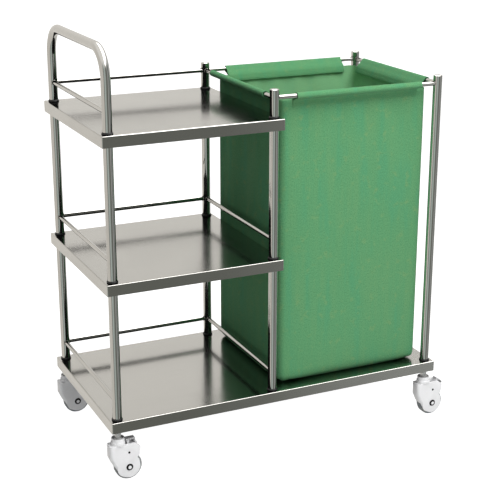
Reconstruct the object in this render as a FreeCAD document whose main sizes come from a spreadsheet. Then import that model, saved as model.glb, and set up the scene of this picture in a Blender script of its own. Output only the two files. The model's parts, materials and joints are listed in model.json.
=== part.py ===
import FreeCAD, Part
import os
import re
import Sketcher

# Linen trolley: three shelf levels at the handle end and a fabric bag on four rods at the other,
# carried by six stainless steel tubes on a folded tray with four braked swivel casters.
# Millimetres. The origin is on the floor under the middle of the tray. +X runs along the tray
# from the handle to the bag, +Y to the back and +Z up.

SIZES = [
    # Tray and shelves: folded sheet with flanges turned down and a narrow lip turned in.
    ("trayLength", 1000, "length of the bottom tray"),
    ("trayWidth", 500, "width of the tray and of both shelves"),
    ("shelfLength", 500, "length of the two upper shelves"),
    ("casterGap", 22, "space between the casters' swivel cups and the foot of the tray"),
    ("shelfPitch", 385, "distance from one shelf top to the next"),
    ("flangeDepth", 30, "depth of the flange turned down all round"),
    ("sheetThickness", 1.2, "thickness of the folded sheet"),
    ("bendRadius", 2.5, "outer radius of the folds"),
    ("lipClearance", 1.5, "gap from a post to the lip turned in at the foot of the flange"),
    # Posts, push handle and rails.
    ("tubeDiameter", 25, "outer diameter of the posts and the handle"),
    ("tubeWall", 1.2, "wall of the posts and the handle"),
    ("postInset", 22, "post axis from the edges of the sheets"),
    ("postRise", 74, "end of the four short posts above the top shelf"),
    ("handleRise", 207, "axis of the push bar above the top shelf"),
    ("handleBend", 75, "centre-line radius of the handle's bends"),
    ("railDiameter", 12, "outer diameter of the rails and the bag rods"),
    ("railWall", 1, "wall of the rails and the bag rods"),
    ("railRise", 53.5, "axis of a rail above its shelf"),
    ("railReach", 4, "length of a rail's end inside its post"),
    ("slipClearance", 0.1, "radial clearance of a part slipped into or over another"),
    ("capPlug", 12, "plug of a post's cap inside the tube"),
    ("capRim", 1.2, "rim of a post's cap"),
    ("capDome", 2, "dome of a post's cap above its rim"),
    # Fixings hidden under the sheets and inside the tubes.
    ("collarWall", 4.4, "wall of the clamping collar under a shelf"),
    ("collarHeight", 12, "height of a clamping collar"),
    ("grubDiameter", 6, "grub screw that clamps a collar"),
    ("insertLength", 40, "threaded insert in the foot of a post"),
    ("boltDiameter", 8, "bolt under a middle post"),
    ("boltReach", 25, "length of that bolt inside its insert"),
    ("boltHeadWidth", 13, "width across the flats of its head"),
    ("boltHeadHeight", 5.3, "height of its head"),
    ("washerDiameter", 20, "washer under that head"),
    ("washerThickness", 1.6, "thickness of that washer"),
    ("threadClearance", 0.05, "radial clearance of a thread, shown plain"),
    ("holeClearance", 0.25, "radial clearance of a bolt in sheet"),
    # Linen bag.
    ("bagShelfGap", 9, "bag from the end of the shelves"),
    ("bagStandoff", 21, "bag from the rod axes on its other three sides"),
    ("bagWall", 2, "thickness of the bag's wall"),
    ("bagCornerRadius", 18, "radius of the bag's upright corners"),
    ("bagFootRadius", 16, "radius round the foot of the bag"),
    ("bagRimDrop", 15, "rim of the bag below the rod axes"),
    ("bagHemDrop", 32, "hem of a flap below the rod axes"),
    ("flapShort", 33, "a flap's end from the bag's corner"),
    ("sleeveWall", 2.45, "thickness of a flap's sleeve round its rod"),
    ("fabricClearance", 0.3, "fabric from the steel that it touches"),
    # Casters, measured from the swivel axis and the floor.
    ("wheelRadius", 37.5, "radius of the wheel over its tread"),
    ("treadWidth", 22, "width of the tread"),
    ("treadShoulder", 4, "radius of the tread's shoulders"),
    ("treadThickness", 9.5, "thickness of the tread round the wheel's core"),
    ("coreInset", 1, "how far the core's rim stands in from the tread's sides"),
    ("coreRim", 5, "thickness of the core's rim"),
    ("webWidth", 6, "thickness of the core's web"),
    ("hubRadius", 9, "radius of the core's hub"),
    ("casterTrail", 25, "wheel axle behind the swivel axis"),
    ("axleRadius", 4, "radius of the axle"),
    ("axleHeadRadius", 8, "radius of the axle's round heads"),
    ("axleHeadHeight", 2.5, "height of the axle's heads"),
    ("runningClearance", 0.05, "radial clearance of an axle, pin or stem that turns"),
    ("sideClearance", 0.3, "gap beside a part that turns"),
    ("wheelGap", 2.5, "gap from the tread to the housing's cavity"),
    ("treadGap", 1, "gap from the tread to each side of its cavity"),
    ("coverWall", 5, "thickness of the housing's sides"),
    ("hoodRise", 29, "top of the housing above the wheel"),
    ("noseWall", 13, "front of the housing ahead of its cavity"),
    ("noseFootRise", 31.5, "where the front starts to slant back, above the axle"),
    ("noseSlant", 9, "how far the front slants back"),
    ("slantFootRise", 11.5, "lower end of that slant, above the axle"),
    ("noseRadius", 9, "radius of the housing's front corners"),
    ("tailInset", 5.5, "rear of the housing ahead of the rear of the wheel"),
    ("tailShoulder", 13, "length of the slope at the rear of the top"),
    ("shoulderDrop", 11, "height of that slope"),
    ("tailFootRise", 31.5, "lower rear corner of the housing, above the axle"),
    ("tailSlant", 4, "how far the rear slants forward"),
    ("coverInset", 4, "edge of the side covers inside the tread"),
    ("frontTangent", 208, "direction in which the front edge meets that cover"),
    ("rearTangent", 48, "direction in which the rear edge meets that cover"),
    ("cupWall", 3, "wall of the swivel cup round its bearing"),
    ("cupHeight", 11, "height of the swivel cup above its lower tier"),
    ("tierStep", 2, "how far the cup's lower tier stands out"),
    ("tierHeight", 8, "height of that tier"),
    ("bearingRadius", 14.4, "radius of the swivel bearing"),
    ("bearingHeight", 5.7, "height of the swivel bearing"),
    ("recessDepth", 8, "depth of the cup's recess"),
    ("stemRadius", 6, "radius of the stem in its bearing and of its thread"),
    ("threadReach", 30, "length of the stem's thread inside its insert"),
    ("spacerRadius", 9, "radius of the stem's shoulder below the tray"),
    ("dustPlateInset", 1.9, "edge of the plate over the bearing, in from the bearing's"),
    ("dustPlateHeight", 4, "height of that plate"),
    ("stemHeadRadius", 9, "radius of the head that the housing hangs on"),
    ("stemHeadHeight", 4, "height of that head"),
    ("stemHeadLift", 5, "underside of that head above the wheel"),
    ("pinRadius", 2.2, "radius of the brake pedal's pin"),
    ("pinRecess", 0.4, "ends of the pin inside the housing's sides"),
    ("pivotLift", 5.5, "axis of the brake pedal above the wheel"),
    ("pedalWidth", 18, "width of the brake pedal"),
    ("pedalGap", 0.6, "gap beside the pedal in its slot"),
    ("pedalThickness", 2, "thickness of the pedal's plate"),
    ("pedalRise", 36, "top of the pedal above its pivot"),
    ("pedalFront", 5.5, "front of the pedal ahead of its pivot"),
    ("pedalRear", 20.5, "rear of the pedal behind its pivot"),
    ("pedalLip", 19, "length of the lip turned down at its rear"),
    ("pedalStalk", 6, "thickness of the pedal's stalk"),
    ("camTipRadius", 2, "radius of the cam's tip"),
    ("pedalHubRadius", 4.4, "radius of the pedal's hub"),
    ("pedalThrow", 35, "angle from released to pressed"),
    ("slotFront", 8, "front of the pedal's slot ahead of the pivot"),
]

doc = FreeCAD.newDocument("LinenTrolley")
sheet = doc.addObject("Spreadsheet::Sheet", "Sizes")
for row, (alias, value, meaning) in enumerate(SIZES, 1):
    sheet.set(f"A{row}", meaning)
    sheet.set(f"B{row}", str(value))
    sheet.setAlias(f"B{row}", alias)
doc.recompute()

ALIASES = {alias for alias, value, meaning in SIZES}
TURNED = {
    "X": FreeCAD.Rotation(FreeCAD.Vector(0, 1, 0), 90),
    "Y": FreeCAD.Rotation(FreeCAD.Vector(1, 0, 0), -90),
    "Z": FreeCAD.Rotation(),
}
CLEAR_BY = 1  # how far a cutter runs past the face that it cuts
NODES = []


# --- Helpers: expressions, sketches and solids ---------------------------------------------------


def formula(text):
    """Write an expression with each size's name read from the sheet."""
    return re.sub(
        r"[A-Za-z]\w*",
        lambda word: f"Sizes.{word.group()}" if word.group() in ALIASES else word.group(),
        str(text),
    )


def bind(piece, target, text):
    piece.setExpression(target, formula(text))


def move_to(piece, x, y, z):
    for axis, text in zip("xyz", (x, y, z)):
        bind(piece, f"Placement.Base.{axis}", text)
    return piece


def node(piece, label):
    """Name a finished sub-part; its label names its file."""
    piece.Label = label
    NODES.append(piece)
    return piece


def cylinder(name, radius, length, at, along="Z"):
    rod = doc.addObject("Part::Cylinder", name)
    rod.Placement = FreeCAD.Placement(FreeCAD.Vector(), TURNED[along])
    bind(rod, "Radius", radius)
    bind(rod, "Height", length)
    return move_to(rod, *at)


def fuse(name, pieces):
    joined = doc.addObject("Part::MultiFuse", name)
    joined.Shapes = pieces
    return joined


def cut(name, base, cutters):
    hollow = doc.addObject("Part::Cut", name)
    hollow.Base = base
    hollow.Tool = cutters[0] if len(cutters) == 1 else fuse(f"{name}_cutters", cutters)
    return hollow


def tube(name, outer, wall, length, at, along="Z"):
    skin = cylinder(f"{name}_skin", outer, length, at, along)
    bore = cylinder(f"{name}_bore", f"{outer} - {wall}", length, at, along)
    return cut(name, skin, [bore])


def placed(name, pattern, x, y, z):
    """A copy of a piece that was modelled once, put where this one belongs."""
    copy = doc.addObject("Part::Compound", name)
    copy.Links = [pattern]
    return move_to(copy, x, y, z)


def group(name, pieces):
    together = doc.addObject("Part::Compound", name)
    together.Links = pieces
    return together


def sketch(body, name, role):
    """A sketch on one of the body's own origin planes."""
    drawing = body.newObject("Sketcher::SketchObject", name)
    base = next(feature for feature in body.Origin.OriginFeatures if feature.Role == role)
    drawing.AttachmentSupport = (base, [""])
    drawing.MapMode = "FlatFace"
    return drawing


def pin_point(drawing, geometry, point, place):
    """Tie a point of the sketch to its two expressions."""
    for kind, text in zip(("DistanceX", "DistanceY"), place):
        value = sheet.evalExpression(formula(text))
        spot = drawing.addConstraint(Sketcher.Constraint(kind, -1, 1, geometry, point, value))
        bind(drawing, f"Constraints[{spot}]", text)


def number(text):
    return float(sheet.evalExpression(formula(text)))


def outline(body, name, role, *loops):
    """Closed loops of straight lines through corners given as expressions."""
    drawing = sketch(body, name, role)
    for corners in loops:
        spots = [FreeCAD.Vector(number(x), number(y), 0) for x, y in corners]
        first = drawing.GeometryCount
        count = len(spots)
        for i, spot in enumerate(spots):
            drawing.addGeometry(Part.LineSegment(spot, spots[(i + 1) % count]), False)
        for i, corner in enumerate(corners):
            following = first + (i + 1) % count
            drawing.addConstraint(Sketcher.Constraint("Coincident", first + i, 2, following, 1))
            pin_point(drawing, first + i, 1, corner)
    return drawing


def circles(body, name, role, spots):
    """Circles given as (x, y, radius) expressions."""
    drawing = sketch(body, name, role)
    for x, y, radius in spots:
        middle = FreeCAD.Vector(number(x), number(y), 0)
        ring = Part.Circle(middle, FreeCAD.Vector(0, 0, 1), number(radius))
        index = drawing.addGeometry(ring, False)
        pin_point(drawing, index, 3, (x, y))
        size = drawing.addConstraint(Sketcher.Constraint("Radius", index, number(radius)))
        bind(drawing, f"Constraints[{size}]", radius)
    return drawing


def rectangle(left, front, right, back):
    return [(left, front), (right, front), (right, back), (left, back)]


def pad(body, name, profile, length, symmetric=False):
    solid = body.newObject("PartDesign::Pad", name)
    solid.Profile = profile
    bind(solid, "Length", length)
    if symmetric:
        solid.SideType = "Symmetric"
    return solid


def pocket(body, name, profile, length, symmetric=False, reverse=False):
    """Cut a profile out of the body and make sure that it took something away."""
    doc.recompute()
    before = body.Shape.Volume
    hollow = body.newObject("PartDesign::Pocket", name)
    hollow.Profile = profile
    hollow.Reversed = reverse
    bind(hollow, "Length", length)
    if symmetric:
        hollow.SideType = "Symmetric"
    doc.recompute()
    if body.Shape.Volume >= before:
        raise RuntimeError(f"{name} cut nothing out of {body.Label}")
    return hollow


def revolved(name, corners):
    """A body turned about the Z axis from a half section in the XZ plane."""
    body = doc.addObject("PartDesign::Body", name)
    profile = outline(body, f"{name}_section", "XZ_Plane", corners)
    turned = body.newObject("PartDesign::Revolution", f"{name}_turned")
    turned.Profile = profile
    turned.ReferenceAxis = (profile, ["V_Axis"])
    return body


def edge_names(shape, wanted):
    return [f"Edge{i}" for i, edge in enumerate(shape.Edges, 1) if wanted(edge.BoundBox)]


def face_names(shape, wanted):
    return [f"Face{i}" for i, face in enumerate(shape.Faces, 1) if wanted(face.BoundBox)]


def rounded(body, base, name, radius, wanted):
    doc.recompute()
    fillet = body.newObject("PartDesign::Fillet", name)
    fillet.Base = (base, edge_names(base.Shape, wanted))
    bind(fillet, "Radius", radius)
    return fillet


def hollowed(body, base, name, wall, open_face):
    """Leave a wall inside the body's skin, open at one face."""
    doc.recompute()
    shell = body.newObject("PartDesign::Thickness", name)
    shell.Base = (base, face_names(base.Shape, open_face))
    shell.Reversed = True
    shell.Join = 1
    bind(shell, "Value", wall)
    return shell


# --- Places that the pieces share ----------------------------------------------------------------

TRAY_LEFT = "(-trayLength / 2)"
SHELF_RIGHT = "(-trayLength / 2 + shelfLength)"
TRAY_RIGHT = "(trayLength / 2)"
X_LEFT = "(-trayLength / 2 + postInset)"
X_MIDDLE = "(-trayLength / 2 + shelfLength - postInset)"
X_RIGHT = "(trayLength / 2 - postInset)"
Y_FRONT = "(-trayWidth / 2 + postInset)"
Y_BACK = "(trayWidth / 2 - postInset)"
HOUSING_TOP = "(2 * wheelRadius + hoodRise)"
CUP_FOOT = f"({HOUSING_TOP} + tierHeight)"
CUP_TOP = f"({CUP_FOOT} + cupHeight)"
DECK = f"({CUP_TOP} + casterGap + flangeDepth)"
MIDDLE = f"({DECK} + shelfPitch)"
TOP = f"({DECK} + 2 * shelfPitch)"
TUBE = "(tubeDiameter / 2)"
TUBE_BORE = "(tubeDiameter / 2 - tubeWall)"
RAIL = "(railDiameter / 2)"
TRAY_UNDERSIDE = f"({DECK} - sheetThickness)"
LIP = f"(postInset - {TUBE} - lipClearance)"
COLLAR = f"({TUBE} + slipClearance + collarWall)"
CORNERS = {
    "front_left": (X_LEFT, Y_FRONT),
    "front_right": (X_RIGHT, Y_FRONT),
    "back_left": (X_LEFT, Y_BACK),
    "back_right": (X_RIGHT, Y_BACK),
}
MIDDLE_POSTS = {"mid_front_post": (X_MIDDLE, Y_FRONT), "mid_back_post": (X_MIDDLE, Y_BACK)}
RIGHT_POSTS = {"right_front_post": (X_RIGHT, Y_FRONT), "right_back_post": (X_RIGHT, Y_BACK)}
SHORT_POSTS = {**MIDDLE_POSTS, **RIGHT_POSTS}
SHELF_HOLES = [(x, y) for x in (X_LEFT, X_MIDDLE) for y in (Y_FRONT, Y_BACK)]

# Each rail: its direction, the post axis it shares, the axes it runs between, its shelf level
# and the posts that hold its ends.
RAILS = {
    "top_left_rail": ("Y", X_LEFT, (Y_FRONT, Y_BACK), TOP, ["handle_frame"]),
    "top_back_rail": ("X", Y_BACK, (X_LEFT, X_MIDDLE), TOP, ["handle_frame", "mid_back_post"]),
    "bag_left_rod": ("Y", X_MIDDLE, (Y_FRONT, Y_BACK), TOP, list(MIDDLE_POSTS)),
    "bag_right_rod": ("Y", X_RIGHT, (Y_FRONT, Y_BACK), TOP, list(RIGHT_POSTS)),
    "bag_front_rod": (
        "X", Y_FRONT, (X_MIDDLE, X_RIGHT), TOP, ["mid_front_post", "right_front_post"],
    ),
    "bag_back_rod": ("X", Y_BACK, (X_MIDDLE, X_RIGHT), TOP, ["mid_back_post", "right_back_post"]),
}
for level_name, level in (("middle", MIDDLE), ("bottom", DECK)):
    RAILS[f"{level_name}_left_rail"] = ("Y", X_LEFT, (Y_FRONT, Y_BACK), level, ["handle_frame"])
    RAILS[f"{level_name}_back_rail"] = (
        "X", Y_BACK, (X_LEFT, X_MIDDLE), level, ["handle_frame", "mid_back_post"],
    )
    RAILS[f"{level_name}_right_rail"] = (
        "Y", X_MIDDLE, (Y_FRONT, Y_BACK), level, list(MIDDLE_POSTS),
    )


# --- Tray and shelves ----------------------------------------------------------------------------


def folded_sheet(label, right, level, holes):
    """A tray folded from sheet: flanges down, lips in, and a hole for each post or bolt."""
    body = doc.addObject("PartDesign::Body", f"{label}_body")
    half = "(trayWidth / 2)"
    plan = outline(
        body, f"{label}_plan", "XY_Plane", rectangle(TRAY_LEFT, f"-{half}", right, half)
    )
    block = pad(body, f"{label}_block", plan, "flangeDepth")
    folds = rounded(
        body, block, f"{label}_folds", "bendRadius", lambda box: box.ZMax > number("flangeDepth") / 2
    )
    hollowed(
        body, folds, f"{label}_hollow", "sheetThickness",
        lambda box: box.ZMax < number("sheetThickness") / 2,
    )
    ring = outline(
        body,
        f"{label}_lip_plan",
        "XY_Plane",
        rectangle(
            f"{TRAY_LEFT} + bendRadius", f"-{half} + sheetThickness / 2",
            f"{right} - bendRadius", f"{half} - sheetThickness / 2",
        ),
        rectangle(
            f"{TRAY_LEFT} + {LIP}", f"-{half} + {LIP}",
            f"{right} - {LIP}", f"{half} - {LIP}",
        ),
    )
    pad(body, f"{label}_lip", ring, "sheetThickness")
    ends = outline(
        body,
        f"{label}_end_plan",
        "XY_Plane",
        rectangle(
            f"{TRAY_LEFT} + sheetThickness / 2", f"-{half} + {LIP}",
            f"{TRAY_LEFT} + {LIP}", f"{half} - {LIP}",
        ),
        rectangle(
            f"{right} - {LIP}", f"-{half} + {LIP}",
            f"{right} - sheetThickness / 2", f"{half} - {LIP}",
        ),
    )
    pad(body, f"{label}_end_lips", ends, "sheetThickness")
    punched = circles(body, f"{label}_hole_plan", "XY_Plane", holes)
    pocket(body, f"{label}_holes", punched, f"flangeDepth + {CLEAR_BY}", reverse=True)
    move_to(body, "0", "0", f"{level} - flangeDepth")
    return node(body, label)


stem_hole = "stemRadius + holeClearance"
bolt_hole = "boltDiameter / 2 + holeClearance"
folded_sheet(
    "bottom_tray",
    TRAY_RIGHT,
    DECK,
    [(x, y, stem_hole) for x, y in CORNERS.values()]
    + [(x, y, bolt_hole) for x, y in MIDDLE_POSTS.values()],
)
for shelf_label, level in (("middle_shelf", MIDDLE), ("top_shelf", TOP)):
    post_hole = f"{TUBE} + slipClearance"
    folded_sheet(shelf_label, SHELF_RIGHT, level, [(x, y, post_hole) for x, y in SHELF_HOLES])


# --- Rails and bag rods --------------------------------------------------------------------------


def rail_place(direction, shared, span, level):
    """Start and length of a rail whose ends stand inside the bores of two posts."""
    start, end = span
    inside = f"({TUBE_BORE} - railReach)"
    first = f"{start} + {inside}"
    height = f"{level} + railRise"
    at = (first, shared, height) if direction == "X" else (shared, first, height)
    return at, f"{end} - {start} - 2 * {inside}"


sockets = {}
for rail_label, (direction, shared, span, level, holders) in RAILS.items():
    at, length = rail_place(direction, shared, span, level)
    node(tube(f"{rail_label}_tube", RAIL, "railWall", length, at, direction), rail_label)
    for holder in holders:
        name = f"{holder}_socket_{rail_label}"
        hole = cylinder(name, f"{RAIL} + slipClearance", length, at, direction)
        sockets.setdefault(holder, []).append(hole)


# --- Posts and push handle -----------------------------------------------------------------------


def handle_frame():
    """One tube bent twice: up a left post, across as the push bar and down the other."""
    body = doc.addObject("PartDesign::Body", "handle_body")
    rise = f"({TOP} - {DECK} + handleRise)"
    shoulder = f"({rise} - handleBend)"
    turn_front = f"({Y_FRONT} + handleBend)"
    turn_back = f"({Y_BACK} - handleBend)"
    stops = [
        (Y_FRONT, "0"), (Y_FRONT, shoulder), (turn_front, rise),
        (turn_back, rise), (Y_BACK, shoulder), (Y_BACK, "0"),
    ]
    path = sketch(body, "handle_path", "YZ_Plane")
    spots = [FreeCAD.Vector(number(y), number(z), 0) for y, z in stops]
    bend = number("handleBend")
    quarter = FreeCAD.Units.Quantity("90 deg").getValueAs("rad").Value
    runs = [path.addGeometry(Part.LineSegment(spots[i], spots[i + 1]), False) for i in (0, 2, 4)]
    bends = []
    for y, first_angle in ((turn_front, quarter), (turn_back, 0)):
        middle = FreeCAD.Vector(number(y), number(shoulder), 0)
        ring = Part.Circle(middle, FreeCAD.Vector(0, 0, 1), bend)
        arc = Part.ArcOfCircle(ring, first_angle, first_angle + quarter)
        bends.append(path.addGeometry(arc, False))
    for run, (first, last) in zip(runs, ((0, 1), (2, 3), (4, 5))):
        pin_point(path, run, 1, stops[first])
        pin_point(path, run, 2, stops[last])
    joins = ((bends[0], 2, runs[0], 2), (bends[0], 1, runs[1], 1),
             (bends[1], 2, runs[1], 2), (bends[1], 1, runs[2], 1))
    for join in joins:
        path.addConstraint(Sketcher.Constraint("Coincident", *join))
    for arc in bends:
        size = path.addConstraint(Sketcher.Constraint("Radius", arc, bend))
        bind(path, f"Constraints[{size}]", "handleBend")
    section = circles(
        body, "handle_section", "XY_Plane", [("0", Y_FRONT, TUBE), ("0", Y_FRONT, TUBE_BORE)]
    )
    doc.recompute()
    pipe = body.newObject("PartDesign::AdditivePipe", "handle_pipe")
    pipe.Profile = section
    pipe.Spine = (path, [])
    return move_to(body, X_LEFT, "0", DECK)


node(cut("handle_drilled", handle_frame(), sockets["handle_frame"]), "handle_frame")
for post_label, (x, y) in SHORT_POSTS.items():
    height = f"{TOP} + postRise - {DECK}"
    plain = tube(f"{post_label}_tube", TUBE, "tubeWall", height, (x, y, DECK))
    node(cut(f"{post_label}_drilled", plain, sockets[post_label]), post_label)

cap = revolved(
    "cap_pattern",
    [
        ("0", "-capPlug"), (f"{TUBE_BORE} - slipClearance", "-capPlug"),
        (f"{TUBE_BORE} - slipClearance", "0"), (TUBE, "0"), (TUBE, "capRim"),
        (f"{TUBE} * 0.7", "capRim + capDome * 0.7"), (f"{TUBE} * 0.35", "capRim + capDome * 0.94"),
        ("0", "capRim + capDome"),
    ],
)
caps = [
    placed(f"{label}_cap", cap, x, y, f"{TOP} + postRise") for label, (x, y) in SHORT_POSTS.items()
]
node(group("caps", caps), "post_caps")


# --- Hidden fixings ------------------------------------------------------------------------------

collars = []
grubs = []
for level_name, level in (("middle", MIDDLE), ("top", TOP)):
    for spot, (x, y) in enumerate(SHELF_HOLES, 1):
        name = f"{level_name}_collar_{spot}"
        foot = f"{level} - sheetThickness - collarHeight"
        ring = tube(f"{name}_ring", COLLAR, "collarWall", "collarHeight", (x, y, foot))
        inward = 1 if x == X_LEFT else -1
        face = f"{x} + {inward} * ({TUBE} + slipClearance)"
        start = face if inward > 0 else f"{x} - {COLLAR}"
        screw_at = (start, y, f"{foot} + collarHeight / 2")
        grub = cylinder(f"{name}_grub", "grubDiameter / 2", "collarWall", screw_at, "X")
        tapped = cylinder(
            f"{name}_tapped", "grubDiameter / 2 + threadClearance", f"collarWall + {CLEAR_BY}",
            (f"{start} - {CLEAR_BY / 2}", y, screw_at[2]), "X",
        )
        collars.append(cut(name, ring, [tapped]))
        grubs.append(grub)
node(group("collars", collars), "shelf_collars")
node(group("grubs", grubs), "collar_grub_screws")


def foot_insert(name, x, y, thread_radius):
    """A steel plug in the foot of a post, with a thread through it."""
    radius = f"({TUBE_BORE} - slipClearance)"
    wall = f"({radius} - {thread_radius} - threadClearance)"
    return tube(name, radius, wall, "insertLength", (x, y, DECK))


node(
    group("corner_plugs", [
        foot_insert(f"{corner}_plug", x, y, "stemRadius") for corner, (x, y) in CORNERS.items()
    ]),
    "corner_post_inserts",
)
node(
    group("middle_plugs", [
        foot_insert(f"{post}_plug", x, y, "boltDiameter / 2")
        for post, (x, y) in MIDDLE_POSTS.items()
    ]),
    "mid_post_inserts",
)


def hex_bolt(name, x, y):
    """A bolt pushed up through its washer and the tray into the foot of a middle post."""
    seat = f"({TRAY_UNDERSIDE} - washerThickness)"
    head = doc.addObject("Part::Prism", f"{name}_head")
    head.Polygon = 6
    bind(head, "Circumradius", "boltHeadWidth / 2 / cos(30 deg)")
    bind(head, "Height", "boltHeadHeight")
    move_to(head, x, y, f"{seat} - boltHeadHeight")
    shank_length = "washerThickness + sheetThickness + boltReach"
    shank = cylinder(f"{name}_shank", "boltDiameter / 2", shank_length, (x, y, seat))
    return fuse(name, [head, shank])


bolts = [hex_bolt(f"{label}_bolt", x, y) for label, (x, y) in MIDDLE_POSTS.items()]
node(group("bolts", bolts), "mid_post_bolts")
washers = [
    tube(
        f"{label}_washer", "(washerDiameter / 2)",
        "(washerDiameter / 2 - boltDiameter / 2 - holeClearance)", "washerThickness",
        (x, y, f"{TRAY_UNDERSIDE} - washerThickness"),
    )
    for label, (x, y) in MIDDLE_POSTS.items()
]
node(group("washers", washers), "mid_post_washers")


# --- Linen bag -----------------------------------------------------------------------------------

ROD_HEIGHT = f"({TOP} + railRise)"
BAG_LEFT = f"({SHELF_RIGHT} + bagShelfGap)"
BAG_RIGHT = f"({X_RIGHT} - bagStandoff)"
BAG_FRONT = f"({Y_FRONT} + bagStandoff)"
BAG_BACK = f"({Y_BACK} - bagStandoff)"
BAG_FOOT = f"({DECK} + fabricClearance)"
BAG_RIM = f"({ROD_HEIGHT} - bagRimDrop)"


def bag_shell():
    """The bag itself: an open box of fabric with rounded corners and a rounded foot."""
    body = doc.addObject("PartDesign::Body", "bag_shell")
    height = f"({BAG_RIM} - {BAG_FOOT})"
    plan = outline(
        body, "bag_plan", "XY_Plane", rectangle(BAG_LEFT, BAG_FRONT, BAG_RIGHT, BAG_BACK)
    )
    block = pad(body, "bag_block", plan, height)
    half = number(height) / 2
    corners = rounded(
        body, block, "bag_corners", "bagCornerRadius", lambda box: box.ZLength > half
    )
    foot = rounded(body, corners, "bag_foot", "bagFootRadius", lambda box: box.ZMax < half)
    hollowed(body, foot, "bag_hollow", "bagWall", lambda box: box.ZMin > half)
    return move_to(body, "0", "0", BAG_FOOT)


def bag_flap(name, direction, rod, inward, start, end):
    """The top of one wall, taken round its rod as a sleeve and down again to a hem."""
    wall = f"({rod} + {inward} * ({{standoff}} + bagWall))"
    standoff = f"({SHELF_RIGHT} - {X_MIDDLE} + bagShelfGap)" if rod == X_MIDDLE else "bagStandoff"
    wall = wall.format(standoff=standoff)
    sleeve = f"({RAIL} + fabricClearance + sleeveWall)"
    section = [
        (f"{rod} + {inward} * {sleeve} * sin(30 deg)", f"{ROD_HEIGHT} + {sleeve} * cos(30 deg)"),
        (wall, BAG_RIM),
        (wall, f"{ROD_HEIGHT} - bagHemDrop"),
        (f"{rod} + {inward} * {sleeve} * sin(10 deg)", f"{ROD_HEIGHT} - {sleeve} * cos(10 deg)"),
    ]
    body = doc.addObject("PartDesign::Body", f"{name}_web")
    along_x = direction == "X"
    profile = outline(body, f"{name}_section", "YZ_Plane" if along_x else "XZ_Plane", section)
    pad(body, f"{name}_web_pad", profile, f"{end} - {start}")
    if along_x:
        move_to(body, start, "0", "0")
        at = (start, rod, ROD_HEIGHT)
    else:
        move_to(body, "0", end, "0")
        at = (rod, start, ROD_HEIGHT)
    roll = cylinder(f"{name}_roll", sleeve, f"{end} - {start}", at, direction)
    return fuse(name, [body, roll])


FLAP_X = (f"({BAG_LEFT} + flapShort)", f"({BAG_RIGHT} - flapShort)")
FLAP_Y = (f"({BAG_FRONT} + flapShort)", f"({BAG_BACK} - flapShort)")
flaps = [
    bag_flap("front_flap", "X", Y_FRONT, 1, *FLAP_X),
    bag_flap("back_flap", "X", Y_BACK, -1, *FLAP_X),
    bag_flap("left_flap", "Y", X_MIDDLE, 1, *FLAP_Y),
    bag_flap("right_flap", "Y", X_RIGHT, -1, *FLAP_Y),
]
rod_bores = []
for rod_label in ("bag_front_rod", "bag_back_rod", "bag_left_rod", "bag_right_rod"):
    direction, shared, span, level, holders = RAILS[rod_label]
    at, length = rail_place(direction, shared, span, level)
    bore = f"{RAIL} + fabricClearance"
    rod_bores.append(cylinder(f"{rod_label}_in_sleeve", bore, length, at, direction))
node(cut("bag_on_rods", fuse("bag_joined", [bag_shell(), *flaps]), rod_bores), "linen_bag")


# --- Casters -------------------------------------------------------------------------------------
# Each piece is modelled once, with the swivel axis at X = Y = 0 and the floor at Z = 0, and then
# put under the four corner posts. The wheel trails behind the swivel axis along +X.

CORE = "(wheelRadius - treadThickness)"
COVER = "(wheelRadius - coverInset)"
CAVITY_WIDTH = "(treadWidth + 2 * treadGap)"
HOUSING_WIDTH = f"({CAVITY_WIDTH} + 2 * coverWall)"
CUP = "(bearingRadius + slipClearance + cupWall)"
STEM_HEAD = "(2 * wheelRadius + stemHeadLift)"
PIVOT = "(2 * wheelRadius + pivotLift)"
RECESS = f"({CUP_TOP} - recessDepth)"
DUST_PLATE = f"({RECESS} + bearingHeight + sideClearance)"
CAVITY_RADIUS = "(wheelRadius + wheelGap)"


def turned_on_axle(name, corners):
    """A wheel part: turned about Z and laid on its side round the axle."""
    body = revolved(name, corners)
    body.Placement = FreeCAD.Placement(FreeCAD.Vector(), TURNED["Y"])
    return move_to(body, "casterTrail", "0", "wheelRadius")


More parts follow.
